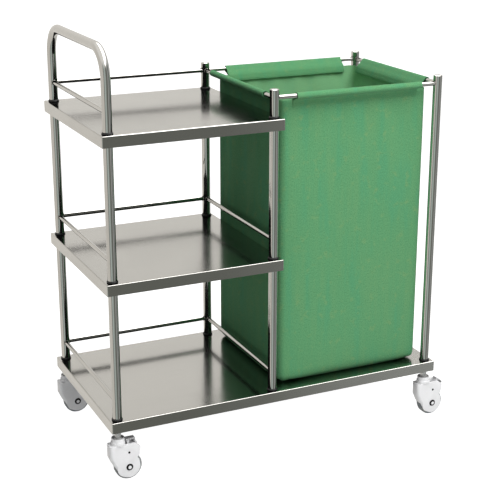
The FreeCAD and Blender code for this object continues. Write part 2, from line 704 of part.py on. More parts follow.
def caster_housing():
    """Moulded housing: a hood with two round side covers and the swivel cup on top."""
    body = doc.addObject("PartDesign::Body", "housing_pattern")
    nose = f"({CAVITY_RADIUS} - casterTrail + noseWall)"
    tail = "(casterTrail + wheelRadius - tailInset)"

    def on_cover(angle):
        return (
            f"casterTrail + {COVER} * cos({angle} * 1 deg)",
            f"wheelRadius + {COVER} * sin({angle} * 1 deg)",
        )

    side = outline(
        body, "hood_side", "XZ_Plane",
        [
            (f"-{nose}", HOUSING_TOP), (f"-{nose}", "wheelRadius + noseFootRise"),
            (f"-{nose} + noseSlant", "wheelRadius + slantFootRise"), on_cover("frontTangent"),
            ("casterTrail", "wheelRadius"), on_cover("rearTangent"),
            (f"{tail} - tailSlant", "wheelRadius + tailFootRise"),
            (tail, f"{HOUSING_TOP} - shoulderDrop"), (f"{tail} - tailShoulder", HOUSING_TOP),
        ],
    )
    hood = pad(body, "hood", side, HOUSING_WIDTH, symmetric=True)
    rounded(
        body, hood, "hood_nose", "noseRadius",
        lambda box: box.XMax < number(f"noseSlant - {nose}") + CLEAR_BY / 2
        and box.YLength < CLEAR_BY and box.ZLength > CLEAR_BY,
    )
    covers = circles(
        body, "cover_discs", "XZ_Plane", [("casterTrail", "wheelRadius", COVER)]
    )
    pad(body, "covers", covers, HOUSING_WIDTH, symmetric=True)
    for tier, foot, radius, height in (
        ("lower_tier", HOUSING_TOP, f"{CUP} + tierStep", "tierHeight"),
        ("cup", CUP_FOOT, CUP, "cupHeight"),
    ):
        ring = circles(body, f"{tier}_ring", "XY_Plane", [("0", "0", radius)])
        bind(ring, "AttachmentOffset.Base.z", foot)
        pad(body, tier, ring, height)
    wheel_space = circles(
        body, "wheel_space", "XZ_Plane", [("casterTrail", "wheelRadius", CAVITY_RADIUS)]
    )
    pocket(body, "wheel_cavity", wheel_space, CAVITY_WIDTH, symmetric=True)
    slot = outline(
        body, "pedal_slot", "XZ_Plane",
        rectangle("casterTrail - slotFront", "wheelRadius", f"{tail} + {CLEAR_BY}",
                  f"{HOUSING_TOP} + {CLEAR_BY}"),
    )
    pocket(body, "pedal_space", slot, "pedalWidth + 2 * pedalGap", symmetric=True)
    for hole, x, z, radius in (
        ("axle_holes", "casterTrail", "wheelRadius", "axleRadius + slipClearance"),
        ("pin_holes", "casterTrail", PIVOT, "pinRadius + slipClearance"),
    ):
        drilled = circles(body, f"{hole}_plan", "XZ_Plane", [(x, z, radius)])
        pocket(body, hole, drilled, f"{HOUSING_WIDTH} + {CLEAR_BY}", symmetric=True)
    for hole, top, radius, depth in (
        ("bearing_recess", CUP_TOP, "bearingRadius + slipClearance", "recessDepth"),
        ("stem_bore", CUP_TOP, "stemRadius + runningClearance", f"{CUP_TOP} - wheelRadius"),
        ("head_space", f"{STEM_HEAD} + stemHeadHeight + sideClearance",
         "stemHeadRadius + sideClearance", f"{STEM_HEAD} - wheelRadius"),
    ):
        drilled = circles(body, f"{hole}_plan", "XY_Plane", [("0", "0", radius)])
        bind(drilled, "AttachmentOffset.Base.z", top)
        pocket(body, hole, drilled, depth)
    return body


def caster_stem():
    """Stem: thread, shoulder against the tray, plate over the bearing, journal and head."""
    thread_top = f"({DECK} + threadReach)"
    head_top = f"({STEM_HEAD} + stemHeadHeight)"
    plate = "(bearingRadius - dustPlateInset)"
    return revolved(
        "stem_pattern",
        [
            ("0", STEM_HEAD), ("stemHeadRadius", STEM_HEAD),
            ("stemHeadRadius", head_top), ("stemRadius", head_top),
            ("stemRadius", DUST_PLATE), (plate, DUST_PLATE),
            (plate, f"{DUST_PLATE} + dustPlateHeight"),
            ("spacerRadius", f"{DUST_PLATE} + dustPlateHeight"),
            ("spacerRadius", TRAY_UNDERSIDE), ("stemRadius", TRAY_UNDERSIDE),
            ("stemRadius", thread_top), ("0", thread_top),
        ],
    )


def caster_bearing():
    """Swivel bearing, a ring in the cup's recess round the stem."""
    bore = "(stemRadius + runningClearance)"
    return tube(
        "bearing_pattern", "bearingRadius", f"(bearingRadius - {bore})", "bearingHeight",
        ("0", "0", RECESS),
    )


def caster_core():
    """Wheel core: hub, thin web and rim."""
    rim, web = "(treadWidth / 2 - coreInset)", "webWidth / 2"
    hub = f"({CAVITY_WIDTH} / 2 - sideClearance)"
    bore = "axleRadius + runningClearance"
    inner_rim = f"{CORE} - coreRim"
    return turned_on_axle(
        "core_pattern",
        [
            (bore, f"-{hub}"), ("hubRadius", f"-{hub}"), ("hubRadius", f"-{web}"),
            (inner_rim, f"-{web}"), (inner_rim, f"-{rim}"), (CORE, f"-{rim}"),
            (CORE, rim), (inner_rim, rim), (inner_rim, web), ("hubRadius", web),
            ("hubRadius", hub), (bore, hub),
        ],
    )


def caster_tread():
    """Tread with rounded shoulders, bonded round the core."""
    half = "treadWidth / 2"
    inner = f"({CORE} + runningClearance)"
    body = turned_on_axle(
        "tread_pattern",
        [(inner, f"-{half}"), ("wheelRadius", f"-{half}"), ("wheelRadius", half), (inner, half)],
    )
    rounded(
        body, body.Tip, "tread_shoulders", "treadShoulder",
        lambda box: box.XLength > number(f"2 * {CORE} + coreRim"),
    )
    return body


def caster_axle():
    """Axle bolt through both covers, with a round head at each end."""
    half = f"({HOUSING_WIDTH} / 2)"
    return turned_on_axle(
        "axle_pattern",
        [
            ("0", f"-{half} - axleHeadHeight"), ("axleHeadRadius * 0.8", f"-{half} - axleHeadHeight"),
            ("axleHeadRadius", f"-{half}"), ("axleRadius", f"-{half}"), ("axleRadius", half),
            ("axleHeadRadius", half), ("axleHeadRadius * 0.8", f"{half} + axleHeadHeight"),
            ("0", f"{half} + axleHeadHeight"),
        ],
    )


def pedal_pin():
    """Pin across the housing that the brake pedal turns on."""
    half = f"({HOUSING_WIDTH} / 2 - pinRecess)"
    at = ("casterTrail", f"-{half}", PIVOT)
    return cylinder("pin_pattern", "pinRadius", f"2 * {half}", at, "Y")


def brake_pedal():
    """Brake pedal about its own pivot, released: plate, lip, stalk, hub and cam."""
    body = doc.addObject("PartDesign::Body", "pedal_pattern")
    under = "(pedalRise - pedalThickness)"
    side = outline(
        body, "pedal_side", "XZ_Plane",
        [
            ("-pedalStalk / 2", "0"), ("pedalStalk / 2", "0"), ("pedalStalk / 2", under),
            ("pedalRear - pedalThickness", under), ("pedalRear - pedalThickness", "pedalRise - pedalLip"),
            ("pedalRear", "pedalRise - pedalLip"), ("pedalRear", "pedalRise"),
            ("-pedalFront", "pedalRise"), ("-pedalFront", under), ("-pedalStalk / 2", under),
        ],
    )
    pad(body, "pedal_plate", side, "pedalWidth", symmetric=True)
    hub = circles(body, "pedal_hub_ring", "XZ_Plane", [("0", "0", "pedalHubRadius")])
    pad(body, "pedal_hub", hub, "pedalWidth", symmetric=True)
    reach = "(pivotLift - sideClearance - camTipRadius)"
    cam = circles(
        body, "cam_tip", "XZ_Plane",
        [(f"{reach} * sin(180 deg - pedalThrow * 1 deg)",
          f"{reach} * cos(180 deg - pedalThrow * 1 deg)", "camTipRadius")],
    )
    pad(body, "cam", cam, "pedalWidth", symmetric=True)
    bore = circles(body, "pedal_bore", "XZ_Plane", [("0", "0", "pinRadius + runningClearance")])
    pocket(body, "pedal_eye", bore, f"pedalWidth + {CLEAR_BY}", symmetric=True)
    return body


PATTERNS = {
    "stem": caster_stem(),
    "swivel_bearing": caster_bearing(),
    "housing": caster_housing(),
    "axle": caster_axle(),
    "wheel_core": caster_core(),
    "tread": caster_tread(),
    "pedal_pin": pedal_pin(),
}
pedal = brake_pedal()
for corner, (x, y) in CORNERS.items():
    for piece, pattern in PATTERNS.items():
        node(placed(f"{corner}_{piece}_copy", pattern, x, y, "0"), f"{corner}_{piece}")
    copy = placed(f"{corner}_pedal_copy", pedal, f"{x} + casterTrail", y, PIVOT)
    copy.Placement.Rotation = FreeCAD.Rotation(FreeCAD.Vector(0, 1, 0), 0)
    if corner == "front_right":
        # This one's brake is on.
        pressed = FreeCAD.Rotation(FreeCAD.Vector(0, 1, 0), number("pedalThrow"))
        copy.Placement = FreeCAD.Placement(copy.Placement.Base, pressed)
        bind(copy, "Placement.Rotation.Angle", "pedalThrow")
    node(copy, f"{corner}_brake_pedal")


# --- Check and write -----------------------------------------------------------------------------

doc.recompute()
faults = [
    f"{item.Label}: {', '.join(item.State)}"
    for item in doc.Objects
    if {"Invalid", "Error"} & set(item.State)
]
faults += [
    f"{piece.Label}: shape is null or not valid"
    for piece in NODES
    if piece.Shape.isNull() or not piece.Shape.isValid() or not piece.Shape.Solids
]
if faults:
    raise RuntimeError("; ".join(faults))

os.makedirs("parts", exist_ok=True)
for piece in NODES:
    piece.Shape.exportStep(f"parts/{piece.Label}.step")
print(f"{len(NODES)} nodes, {sum(len(piece.Shape.Solids) for piece in NODES)} solids")
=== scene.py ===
# %% [markdown]
# A hospital linen trolley: three stainless steel shelves and a push handle at one end, a green
# cloth bag hung on four rods at the other, and four white braked casters under the tray. The
# steelwork is already exact in the imported model, so it is kept and given real metal finishes. What
# a plain solid can't show is modelled here: the sewn bag and its stitches, the softened plastic of
# the casters and their pedals, and the welds. Black rings under the posts paint the shade where a
# post meets a shelf.

# %% Load the imported model
import json
import math

import bmesh
import bpy
from mathutils import Matrix, Vector, noise


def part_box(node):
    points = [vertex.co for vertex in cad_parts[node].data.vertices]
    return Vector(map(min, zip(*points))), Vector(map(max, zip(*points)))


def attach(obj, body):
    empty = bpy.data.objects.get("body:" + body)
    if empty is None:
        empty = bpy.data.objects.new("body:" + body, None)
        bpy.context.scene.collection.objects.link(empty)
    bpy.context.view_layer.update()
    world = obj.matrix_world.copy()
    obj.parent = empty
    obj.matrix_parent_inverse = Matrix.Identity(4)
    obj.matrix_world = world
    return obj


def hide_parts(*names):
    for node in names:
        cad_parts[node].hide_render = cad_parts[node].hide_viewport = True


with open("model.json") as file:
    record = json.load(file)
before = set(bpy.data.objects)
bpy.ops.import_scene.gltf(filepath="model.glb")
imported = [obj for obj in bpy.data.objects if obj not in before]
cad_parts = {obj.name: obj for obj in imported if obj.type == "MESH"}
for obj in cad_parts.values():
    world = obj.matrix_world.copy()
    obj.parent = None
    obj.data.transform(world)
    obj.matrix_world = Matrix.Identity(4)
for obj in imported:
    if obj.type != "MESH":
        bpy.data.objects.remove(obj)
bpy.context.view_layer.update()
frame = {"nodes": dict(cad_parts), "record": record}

NODES = frame["nodes"]
MM = 0.001
CORNERS = ("front_left", "front_right", "back_left", "back_right")

# %% [markdown]
# ## Camera
# A long lens from well back keeps the uprights nearly parallel. The camera stands in front of the
# trolley and to its left, beyond the handle, and looks down a little, so that all three shelf tops
# and the mouth of the bag show.

# %% Set up the camera
EYE = Vector((-1.42216, -3.06257, 1.6158))
YAW, PITCH, ROLL = 0.43903, -0.3155, 0.002
LENS, SENSOR_WIDTH = 88.97, 36
camera_data = bpy.data.cameras.new("studio_camera")
camera_data.lens = LENS
camera_data.sensor_width = SENSOR_WIDTH
camera = bpy.data.objects.new("studio_camera", camera_data)
bpy.context.scene.collection.objects.link(camera)
camera.matrix_world = (
    Matrix.Translation(EYE)
    @ Matrix.Rotation(-YAW, 4, "Z")
    @ Matrix.Rotation(math.pi / 2 + PITCH, 4, "X")
    @ Matrix.Rotation(ROLL, 4, "Z")
)
bpy.context.scene.camera = camera
bpy.context.scene.view_settings.view_transform = "Standard"
print(f"camera {EYE.length:.2f} m from the middle of the floor under the trolley")

# %% [markdown]
# ## A helper for node trees
# Finishes and the studio's sky are node trees. Writing one node a line, with its settings and with
# what feeds each input, keeps a tree as readable as a recipe.

# %% Place nodes and make groups


def put(tree, kind, inputs=None, **settings):
    """Add a node; a socket given as an input is linked, anything else is set as its value."""
    made = tree.nodes.new(kind)
    for name, value in settings.items():
        setattr(made, name, value)
    for name, value in (inputs or {}).items():
        if isinstance(value, bpy.types.NodeSocket):
            tree.links.new(value, made.inputs[name])
        else:
            made.inputs[name].default_value = value
    return made


def sums(tree, operation, first, second=0.0, third=0.0):
    """One step of arithmetic."""
    return put(
        tree, "ShaderNodeMath", {0: first, 1: second, 2: third}, operation=operation
    ).outputs[0]


def blended(tree, share, first, second):
    """A colour between two others."""
    mixed = put(tree, "ShaderNodeMix", data_type="RGBA")
    for spot, value in ((0, share), (6, first), (7, second)):
        if isinstance(value, bpy.types.NodeSocket):
            tree.links.new(value, mixed.inputs[spot])
        else:
            mixed.inputs[spot].default_value = value
    return mixed.outputs[2]


def ranged(tree, value, low, high, new_low, new_high):
    """A value carried smoothly from one range to another and held at its ends."""
    return put(
        tree, "ShaderNodeMapRange",
        {"Value": value, "From Min": low, "From Max": high, "To Min": new_low, "To Max": new_high},
        interpolation_type="SMOOTHSTEP",
    ).outputs["Result"]


def new_group(name, inputs, outputs):
    """A shader node group with named sockets."""
    tree = bpy.data.node_groups.new(name, "ShaderNodeTree")
    for label, kind, value in inputs:
        socket = tree.interface.new_socket(
            name=label, in_out="INPUT", socket_type=f"NodeSocket{kind}"
        )
        if value is not None:
            socket.default_value = value
    for label, kind in outputs:
        tree.interface.new_socket(name=label, in_out="OUTPUT", socket_type=f"NodeSocket{kind}")
    return tree, tree.nodes.new("NodeGroupInput").outputs, tree.nodes.new("NodeGroupOutput").inputs


def grey(value):
    """A colour with no hue."""
    return (value, value, value, 1.0)


print("node helpers ready")


# %% [markdown]
# ## Studio
# Polished steel shows nothing but what stands round it. A white room all over would make the tubes
# vanish, so what they mirror has a warm pale side to the left and behind, and darker upright bands
# to the front and right. Overhead it is pale, with one strip that is much brighter and puts the
# glint on the folded edges. Only mirrored rays see all this: the camera sees plain white, and the
# cloth is lit by an even grey. A mirrored ray that has met a second piece of steel finds a nearly
# black room. That is a liberty: without it, close bright tubes light each other up and glow.

# %% Build the studio's surroundings
scene = bpy.context.scene
world = bpy.data.worlds.new("studio")
scene.world = world
world.use_nodes = True
sky = world.node_tree
sky.nodes.clear()

# Direction round the trolley, in degrees from the front towards the right, and what is mirrored
# there.
SURROUNDINGS = (
    (-180, (0.80, 0.77, 0.72)), (-140, (0.70, 0.67, 0.62)), (-62, (0.68, 0.65, 0.60)),
    (-56, (0.22, 0.23, 0.21)), (-46, (0.20, 0.22, 0.20)), (-39, (0.48, 0.54, 0.51)),
    (-24, (0.50, 0.56, 0.53)), (-10, (0.34, 0.37, 0.35)), (4, (0.17, 0.175, 0.155)),
    (26, (0.145, 0.15, 0.135)), (32, (0.38, 0.39, 0.37)), (44, (0.44, 0.45, 0.44)),
    (56, (0.14, 0.15, 0.14)), (72, (0.16, 0.17, 0.16)), (84, (0.52, 0.53, 0.52)),
    (125, (0.58, 0.57, 0.54)), (155, (0.76, 0.74, 0.70)),
)
PALE_CEILING, BRIGHT_STRIP = (0.92, 0.90, 0.86, 1.0), (4.5, 4.4, 4.3, 1.0)
AMBIENT, SECOND_HAND = 0.28, 0.006
direction = put(sky, "ShaderNodeTexCoord").outputs["Generated"]
parts = put(sky, "ShaderNodeSeparateXYZ", {0: direction}).outputs
round_angle = sums(sky, "ARCTAN2", parts["X"], sums(sky, "MULTIPLY", parts["Y"], -1.0))
turn_share = sums(sky, "MULTIPLY_ADD", round_angle, 1 / (2 * math.pi), 0.5)
bands = put(sky, "ShaderNodeValToRGB", {"Fac": turn_share})
while len(bands.color_ramp.elements) > 1:
    bands.color_ramp.elements.remove(bands.color_ramp.elements[-1])
for spot, (angle, colour) in enumerate(SURROUNDINGS):
    ramp = bands.color_ramp.elements
    stop = ramp[0] if spot == 0 else ramp.new((angle + 180) / 360)
    stop.position, stop.color = (angle + 180) / 360, (*colour, 1.0)
last_stop = bands.color_ramp.elements.new(1.0)
last_stop.color = (*SURROUNDINGS[0][1], 1.0)
overhead = ranged(sky, parts["Z"], 0.42, 0.8, 0.0, 1.0)
strip = sums(
    sky, "MULTIPLY", ranged(sky, parts["Z"], 0.55, 0.75, 0.0, 1.0),
    ranged(sky, parts["X"], 0.1, 0.25, 0.0, 1.0),
)
mirrored = blended(sky, overhead, bands.outputs["Color"], PALE_CEILING)
mirrored = blended(sky, strip, mirrored, BRIGHT_STRIP)
rays = put(sky, "ShaderNodeLightPath").outputs
first_hand = ranged(sky, rays["Ray Depth"], 2.2, 2.8, 1.0, 0.0)
dimmed = blended(sky, first_hand, grey(SECOND_HAND), mirrored)
lit = blended(sky, rays["Is Glossy Ray"], grey(AMBIENT), dimmed)
seen = blended(sky, rays["Is Camera Ray"], lit, grey(1.0))
surroundings = put(sky, "ShaderNodeBackground", {"Color": seen, "Strength": 1.0})
put(sky, "ShaderNodeOutputWorld", {"Surface": surroundings.outputs[0]})
print(f"surroundings with {len(SURROUNDINGS)} bands")

# %% [markdown]
# The light itself comes from three soft panels: a broad strong one high up in front, and two weak
# ones, low in front and behind, which fill the shadows. They are hidden from mirrored rays, because
# the surroundings already say what the steel mirrors. The floor is plain and pale. It glows a little
# on to the trolley, and more towards the camera, so that it shows as white.

# %% Hang the lights and lay the floor


def soft_panel(name, place, aim, size, power):
    """A round area light, aimed at a point and hidden from the camera and from mirrors."""
    panel = bpy.data.lights.new(name, "AREA")
    panel.shape, panel.size, panel.energy = "DISK", size, power
    lamp = bpy.data.objects.new(name, panel)
    scene.collection.objects.link(lamp)
    lamp.location = place
    lamp.rotation_euler = (Vector(aim) - Vector(place)).to_track_quat("-Z", "Y").to_euler()
    lamp.visible_glossy = False
    lamp.visible_camera = False


soft_panel("top_panel", (0.5, -2.6, 5.0), (0.1, 0.0, 0.5), 3.6, 242)
soft_panel("front_panel", (0.7, -4.2, 0.9), (0.0, 0.0, 0.4), 2.2, 22)
soft_panel("back_panel", (-0.6, 3.8, 2.2), (0.0, 0.0, 0.6), 2.4, 16)

bpy.ops.object.select_all(action="DESELECT")
bpy.ops.mesh.primitive_plane_add(size=30, location=(0, 0, 0))
floor = bpy.context.object
floor.name = "studio_floor"
floor.visible_glossy = False
floor_finish = bpy.data.materials.new("pale_floor")
floor_finish.use_nodes = True
floor_tree = floor_finish.node_tree
floor_shader = floor_tree.nodes["Principled BSDF"]
FLOOR_TONE, FLOOR_GLOW, FLOOR_SEEN = 0.4, 0.25, 1.0
floor_shader.inputs["Base Color"].default_value = grey(FLOOR_TONE)
floor_shader.inputs["Roughness"].default_value = 1.0
floor_shader.inputs["Emission Color"].default_value = grey(1.0)
floor_rays = put(floor_tree, "ShaderNodeLightPath").outputs
glow = ranged(floor_tree, floor_rays["Is Camera Ray"], 0.0, 1.0, FLOOR_GLOW, FLOOR_SEEN)
floor_tree.links.new(glow, floor_shader.inputs["Emission Strength"])
floor.data.materials.append(floor_finish)
print(f"{len(bpy.data.lights)} soft panels and a floor")

# %% [markdown]
# ## Effects that several finishes share
# Drawn tube and rolled sheet both carry fine parallel lines; almost everything carries a faint
# cloudy film from hands and cloths. Each effect is a node group with named inputs, so that one
# recipe serves tube, sheet, plastic and rubber with different numbers. The lines are noise that is
# stretched by a different amount along each axis.

# %% Group: fine parallel lines
fine_lines, given, result = new_group(
    "fine_lines",
    [
        ("Vector", "Vector", None), ("Stretch", "Vector", (400.0, 400.0, 8.0)),
        ("Detail", "Float", 3.0),
    ],
    [("Lines", "Float")],
)
stretched = put(
    fine_lines, "ShaderNodeVectorMath", {0: given["Vector"], 1: given["Stretch"]},
    operation="MULTIPLY",
)
grain = put(
    fine_lines, "ShaderNodeTexNoise",
    {"Vector": stretched.outputs[0], "Scale": 1.0, "Detail": given["Detail"], "Roughness": 0.6},
)
fine_lines.links.new(grain.outputs["Fac"], result["Lines"])

# %% Group: cloudy film
cloudy_film, given, result = new_group(
    "cloudy_film",
    [("Vector", "Vector", None), ("Scale", "Float", 12.0), ("Amount", "Float", 0.5)],
    [("Film", "Float")],
)
broad = put(
    cloudy_film, "ShaderNodeTexNoise",
    {
        "Vector": given["Vector"], "Scale": given["Scale"], "Detail": 4.0, "Roughness": 0.62,
        "Distortion": 0.4,
    },
)
patches = ranged(cloudy_film, broad.outputs["Fac"], 0.38, 0.68, 0.0, 1.0)
cloudy_film.links.new(sums(cloudy_film, "MULTIPLY", patches, given["Amount"]), result["Film"])

# %% Group: plain weave
plain_weave, given, result = new_group(
    "plain_weave",
    [("Vector", "Vector", None), ("Threads", "Float", 700.0)],
    [("Height", "Float"), ("Slubs", "Float")],
)
across = put(plain_weave, "ShaderNodeSeparateXYZ", {0: given["Vector"]}).outputs
turns = sums(plain_weave, "MULTIPLY", given["Threads"], math.pi)
warp = sums(plain_weave, "SINE", sums(plain_weave, "MULTIPLY", across["X"], turns))
weft = sums(plain_weave, "SINE", sums(plain_weave, "MULTIPLY", across["Y"], turns))
crossing = sums(plain_weave, "MULTIPLY", warp, weft)
plain_weave.links.new(sums(plain_weave, "MULTIPLY_ADD", crossing, 0.5, 0.5), result["Height"])
long_threads = put(
    plain_weave, "ShaderNodeVectorMath", {0: given["Vector"], 1: (520.0, 22.0, 1.0)},
    operation="MULTIPLY",
)
slubs = put(
    plain_weave, "ShaderNodeTexNoise",
    {"Vector": long_threads.outputs[0], "Scale": 1.0, "Detail": 2.0, "Roughness": 0.5},
)
plain_weave.links.new(slubs.outputs["Fac"], result["Slubs"])
print("groups:", ", ".join(group.name for group in bpy.data.node_groups))

# %% [markdown]
# ## Steel
# The tubes are polished bright; what shows their finish is a faint drift of the tone and lines
# along the tube. Shelves and tray are satin: rolled sheet whose grain runs along the trolley and
# whose reflections are blurred. Both are fully metallic, so their detail is in tone, roughness and
# height. Caster stems and pins are plated and a little oxidised, so they are metallic only in part.

# %% Finish: polished tube and satin sheet


def finish(name):
    """A new material with its tree, its shader and its object coordinates."""
    material = bpy.data.materials.new(name)
    material.use_nodes = True
    tree = material.node_tree
    shader = tree.nodes["Principled BSDF"]
    spot = put(tree, "ShaderNodeTexCoord").outputs["Object"]
    return material, tree, shader, spot


def feed(tree, shader, sockets):
    """Link sockets to a shader's inputs, and set plain values on them."""
    for name, value in sockets.items():
        if isinstance(value, bpy.types.NodeSocket):
            tree.links.new(value, shader.inputs[name])
        else:
            shader.inputs[name].default_value = value


def metal(name, pale, dull, stretch, smooth, rough, bump, film_scale=9.0, bare=1.0):
    """Metal with a grain along one direction and a faint film; bare is how little oxide it has."""
    material, tree, shader, spot = finish(name)
    lines = put(
        tree, "ShaderNodeGroup", {"Vector": spot, "Stretch": stretch}, node_tree=fine_lines
    ).outputs["Lines"]
    film = put(
        tree, "ShaderNodeGroup", {"Vector": spot, "Scale": film_scale, "Amount": 1.0},
        node_tree=cloudy_film,
    ).outputs["Film"]
    tone = blended(tree, sums(tree, "MULTIPLY", lines, 0.8), pale, dull)
    tone = blended(tree, sums(tree, "MULTIPLY", film, 0.35), tone, dull)
    gloss = ranged(tree, sums(tree, "MULTIPLY_ADD", film, 0.5, lines), 0.3, 1.0, smooth, rough)
    relief = put(
        tree, "ShaderNodeBump", {"Strength": bump, "Distance": 0.0002, "Height": lines}
    ).outputs["Normal"]
    bright = ranged(tree, film, 0.0, 1.0, bare, bare * 0.7) if bare < 1.0 else 1.0
    feed(tree, shader, {
        "Base Color": tone, "Metallic": bright, "Roughness": gloss, "Normal": relief,
    })
    return material


FINISHES = {
    "polished_tube": metal(
        "polished_tube", (0.74, 0.73, 0.71, 1), (0.60, 0.60, 0.58, 1), (700.0, 700.0, 5.0),
        0.05, 0.15, 0.05,
    ),
    "shelf_sheet": metal(
        "shelf_sheet", (0.70, 0.69, 0.67, 1), (0.56, 0.56, 0.54, 1), (6.0, 700.0, 700.0),
        0.13, 0.20, 0.05, film_scale=3.0,
    ),
    "plated_hardware": metal(
        "plated_hardware", (0.78, 0.78, 0.77, 1), (0.58, 0.58, 0.57, 1), (300.0, 300.0, 300.0),
        0.22, 0.42, 0.1, film_scale=60.0, bare=0.4,
    ),
    "dark_hardware": metal(
        "dark_hardware", (0.05, 0.05, 0.05, 1), (0.02, 0.02, 0.022, 1), (400.0, 400.0, 400.0),
        0.32, 0.5, 0.15, film_scale=90.0,
    ),
}
weld_finish = metal(
    "weld_bead", (0.58, 0.57, 0.54, 1), (0.36, 0.35, 0.33, 1), (500.0, 500.0, 500.0),
    0.16, 0.34, 0.2, film_scale=120.0,
)
print("steel finishes:", ", ".join([*FINISHES, weld_finish.name]))

# %% [markdown]
# ## Moulded plastic and rubber
# The caster hoods are glossy white nylon: nearly even, with a very faint cloud in the gloss and a
# fine moulded grain. The tread is a blue-grey rubber that is matt, picks up dust, and is scuffed.
# The pedals are a greyer nylon. The black rubber rings under the posts are painted shade.

# %% Finish: moulded pieces


def moulded(name, clean, soiled, smooth, rough, grain_scale, bump, film_scale=40.0, soiling=0.5):
    """Plastic or rubber with a fine grain, and a film that tints it."""
    material, tree, shader, spot = finish(name)
    film = put(
        tree, "ShaderNodeGroup", {"Vector": spot, "Scale": film_scale, "Amount": soiling},
        node_tree=cloudy_film,
    ).outputs["Film"]
    pores = put(
        tree, "ShaderNodeTexNoise", {"Vector": spot, "Scale": grain_scale, "Detail": 2.0}
    ).outputs["Fac"]
    gloss = ranged(tree, sums(tree, "MULTIPLY_ADD", pores, 0.4, film), 0.1, 0.9, smooth, rough)
    relief = put(
        tree, "ShaderNodeBump", {"Strength": bump, "Distance": 0.0002, "Height": pores}
    ).outputs["Normal"]
    feed(tree, shader, {
        "Base Color": blended(tree, film, clean, soiled), "Roughness": gloss, "Normal": relief,
    })
    return material


FINISHES["caster_housing"] = moulded(
    "caster_housing", (0.95, 0.95, 0.96, 1), (0.90, 0.90, 0.90, 1), 0.14, 0.28, 900.0, 0.06
)
FINISHES["wheel_core"] = moulded(
    "wheel_core", (0.74, 0.75, 0.76, 1), (0.55, 0.55, 0.55, 1), 0.35, 0.55, 900.0, 0.1
)
FINISHES["caster_tread"] = moulded(
    "caster_tread", (0.20, 0.23, 0.245, 1), (0.30, 0.30, 0.29, 1), 0.5, 0.8, 1400.0, 0.3,
    soiling=0.8,
)
FINISHES["brake_pedal"] = moulded(
    "brake_pedal", (0.72, 0.72, 0.73, 1), (0.60, 0.60, 0.60, 1), 0.32, 0.5, 1100.0, 0.15
)
# Black for the rings under the posts: painted shade where a post meets a shelf.
foot_shade_finish = moulded(
    "painted_shade_rubber", (0.012, 0.012, 0.013, 1), (0.03, 0.03, 0.03, 1), 0.4, 0.6, 1400.0, 0.2
)
print("moulded finishes made")

# %% [markdown]
# ## Cloth
# The bag is dyed green woven polyester. Its dye drifts: broad upright streaks lean a little to
# yellow or to blue, with soft yellow spots and fine flecks over them, and thick threads show darker.
# The weave itself is in the bump, and it follows the cloth because it is read from the piece's own
# UV map, which is in metres of cloth. The inside of the bag is paler than these lamps make it, so
# light is painted there: a paler tone, mixed in where the mesh says that a face looks inwards.

# %% Finish: woven cloth and its thread
# The paler green painted on the bag's inward faces, and how much of it: painted light.
INNER_PAINTED_LIGHT_GREEN, INNER_PAINTED_LIGHT = (0.36, 0.72, 0.38, 1), 0.5


def woven(name, body, yellow, blue, dark, pale, threads=650.0):
    """Dyed cloth: a body colour with streaks, spots and flecks of others, and a plain weave."""
    material, tree, shader, _ = finish(name)
    cloth = put(tree, "ShaderNodeUVMap", uv_map="cloth_metres").outputs["UV"]
    weave = put(
        tree, "ShaderNodeGroup", {"Vector": cloth, "Threads": threads}, node_tree=plain_weave
    ).outputs

    def drift(stretch, detail):
        """Noise over the cloth; a larger stretch makes it finer along that axis."""
        return put(
            tree, "ShaderNodeGroup", {"Vector": cloth, "Stretch": stretch, "Detail": detail},
            node_tree=fine_lines,
        ).outputs["Lines"]

    streaks = drift((30.0, 3.5, 1.0), 2.0)
    spots = drift((38.0, 34.0, 1.0), 1.5)
    flecks = drift((420.0, 260.0, 1.0), 1.5)
    tone = blended(tree, ranged(tree, streaks, 0.44, 0.70, 0.0, 0.32), body, yellow)
    tone = blended(tree, ranged(tree, streaks, 0.48, 0.32, 0.0, 0.50), tone, blue)
    tone = blended(tree, ranged(tree, spots, 0.56, 0.74, 0.0, 0.75), tone, yellow)
    tone = blended(tree, ranged(tree, flecks, 0.52, 0.34, 0.0, 0.8), tone, dark)
    tone = blended(tree, ranged(tree, flecks, 0.52, 0.68, 0.0, 0.7), tone, pale)
    tone = blended(tree, ranged(tree, weave["Slubs"], 0.55, 0.75, 0.0, 0.3), tone, dark)
    # Painted light: faces that look into the bag are made paler.
    inner = put(tree, "ShaderNodeAttribute", attribute_name="inner_side").outputs["Fac"]
    tone = blended(tree, ranged(tree, inner, 0.0, 1.0, 0.0, INNER_PAINTED_LIGHT), tone, INNER_PAINTED_LIGHT_GREEN)
    relief = put(
        tree, "ShaderNodeBump", {"Strength": 0.35, "Distance": 0.0004, "Height": weave["Height"]}
    ).outputs["Normal"]
    feed(tree, shader, {
        "Base Color": tone, "Normal": relief, "Sheen Weight": 0.05, "Sheen Roughness": 0.5,
        "Specular IOR Level": 0.12,
        "Roughness": ranged(tree, weave["Slubs"], 0.3, 0.7, 0.72, 0.9),
    })
    return material


FINISHES["bag_cloth"] = woven(
    "bag_cloth", (0.120, 0.350, 0.160, 1), (0.190, 0.368, 0.155, 1), (0.082, 0.348, 0.185, 1),
    (0.088, 0.282, 0.122, 1), (0.155, 0.405, 0.200, 1),
)
thread_finish = moulded(
    "bag_thread", (0.13, 0.37, 0.18, 1), (0.09, 0.28, 0.13, 1), 0.6, 0.8, 4000.0, 0.4, 300.0
)
print("cloth finishes made")

# %% [markdown]
# ## Give every carried-over piece its finish
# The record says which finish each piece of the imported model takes. Assigning to the object's
# material slot changes only its look.

# %% Assign the finishes
for part in frame["record"]["subparts"]:
    NODES[part["node"]].material_slots[0].material = FINISHES[part["material_slot"]]

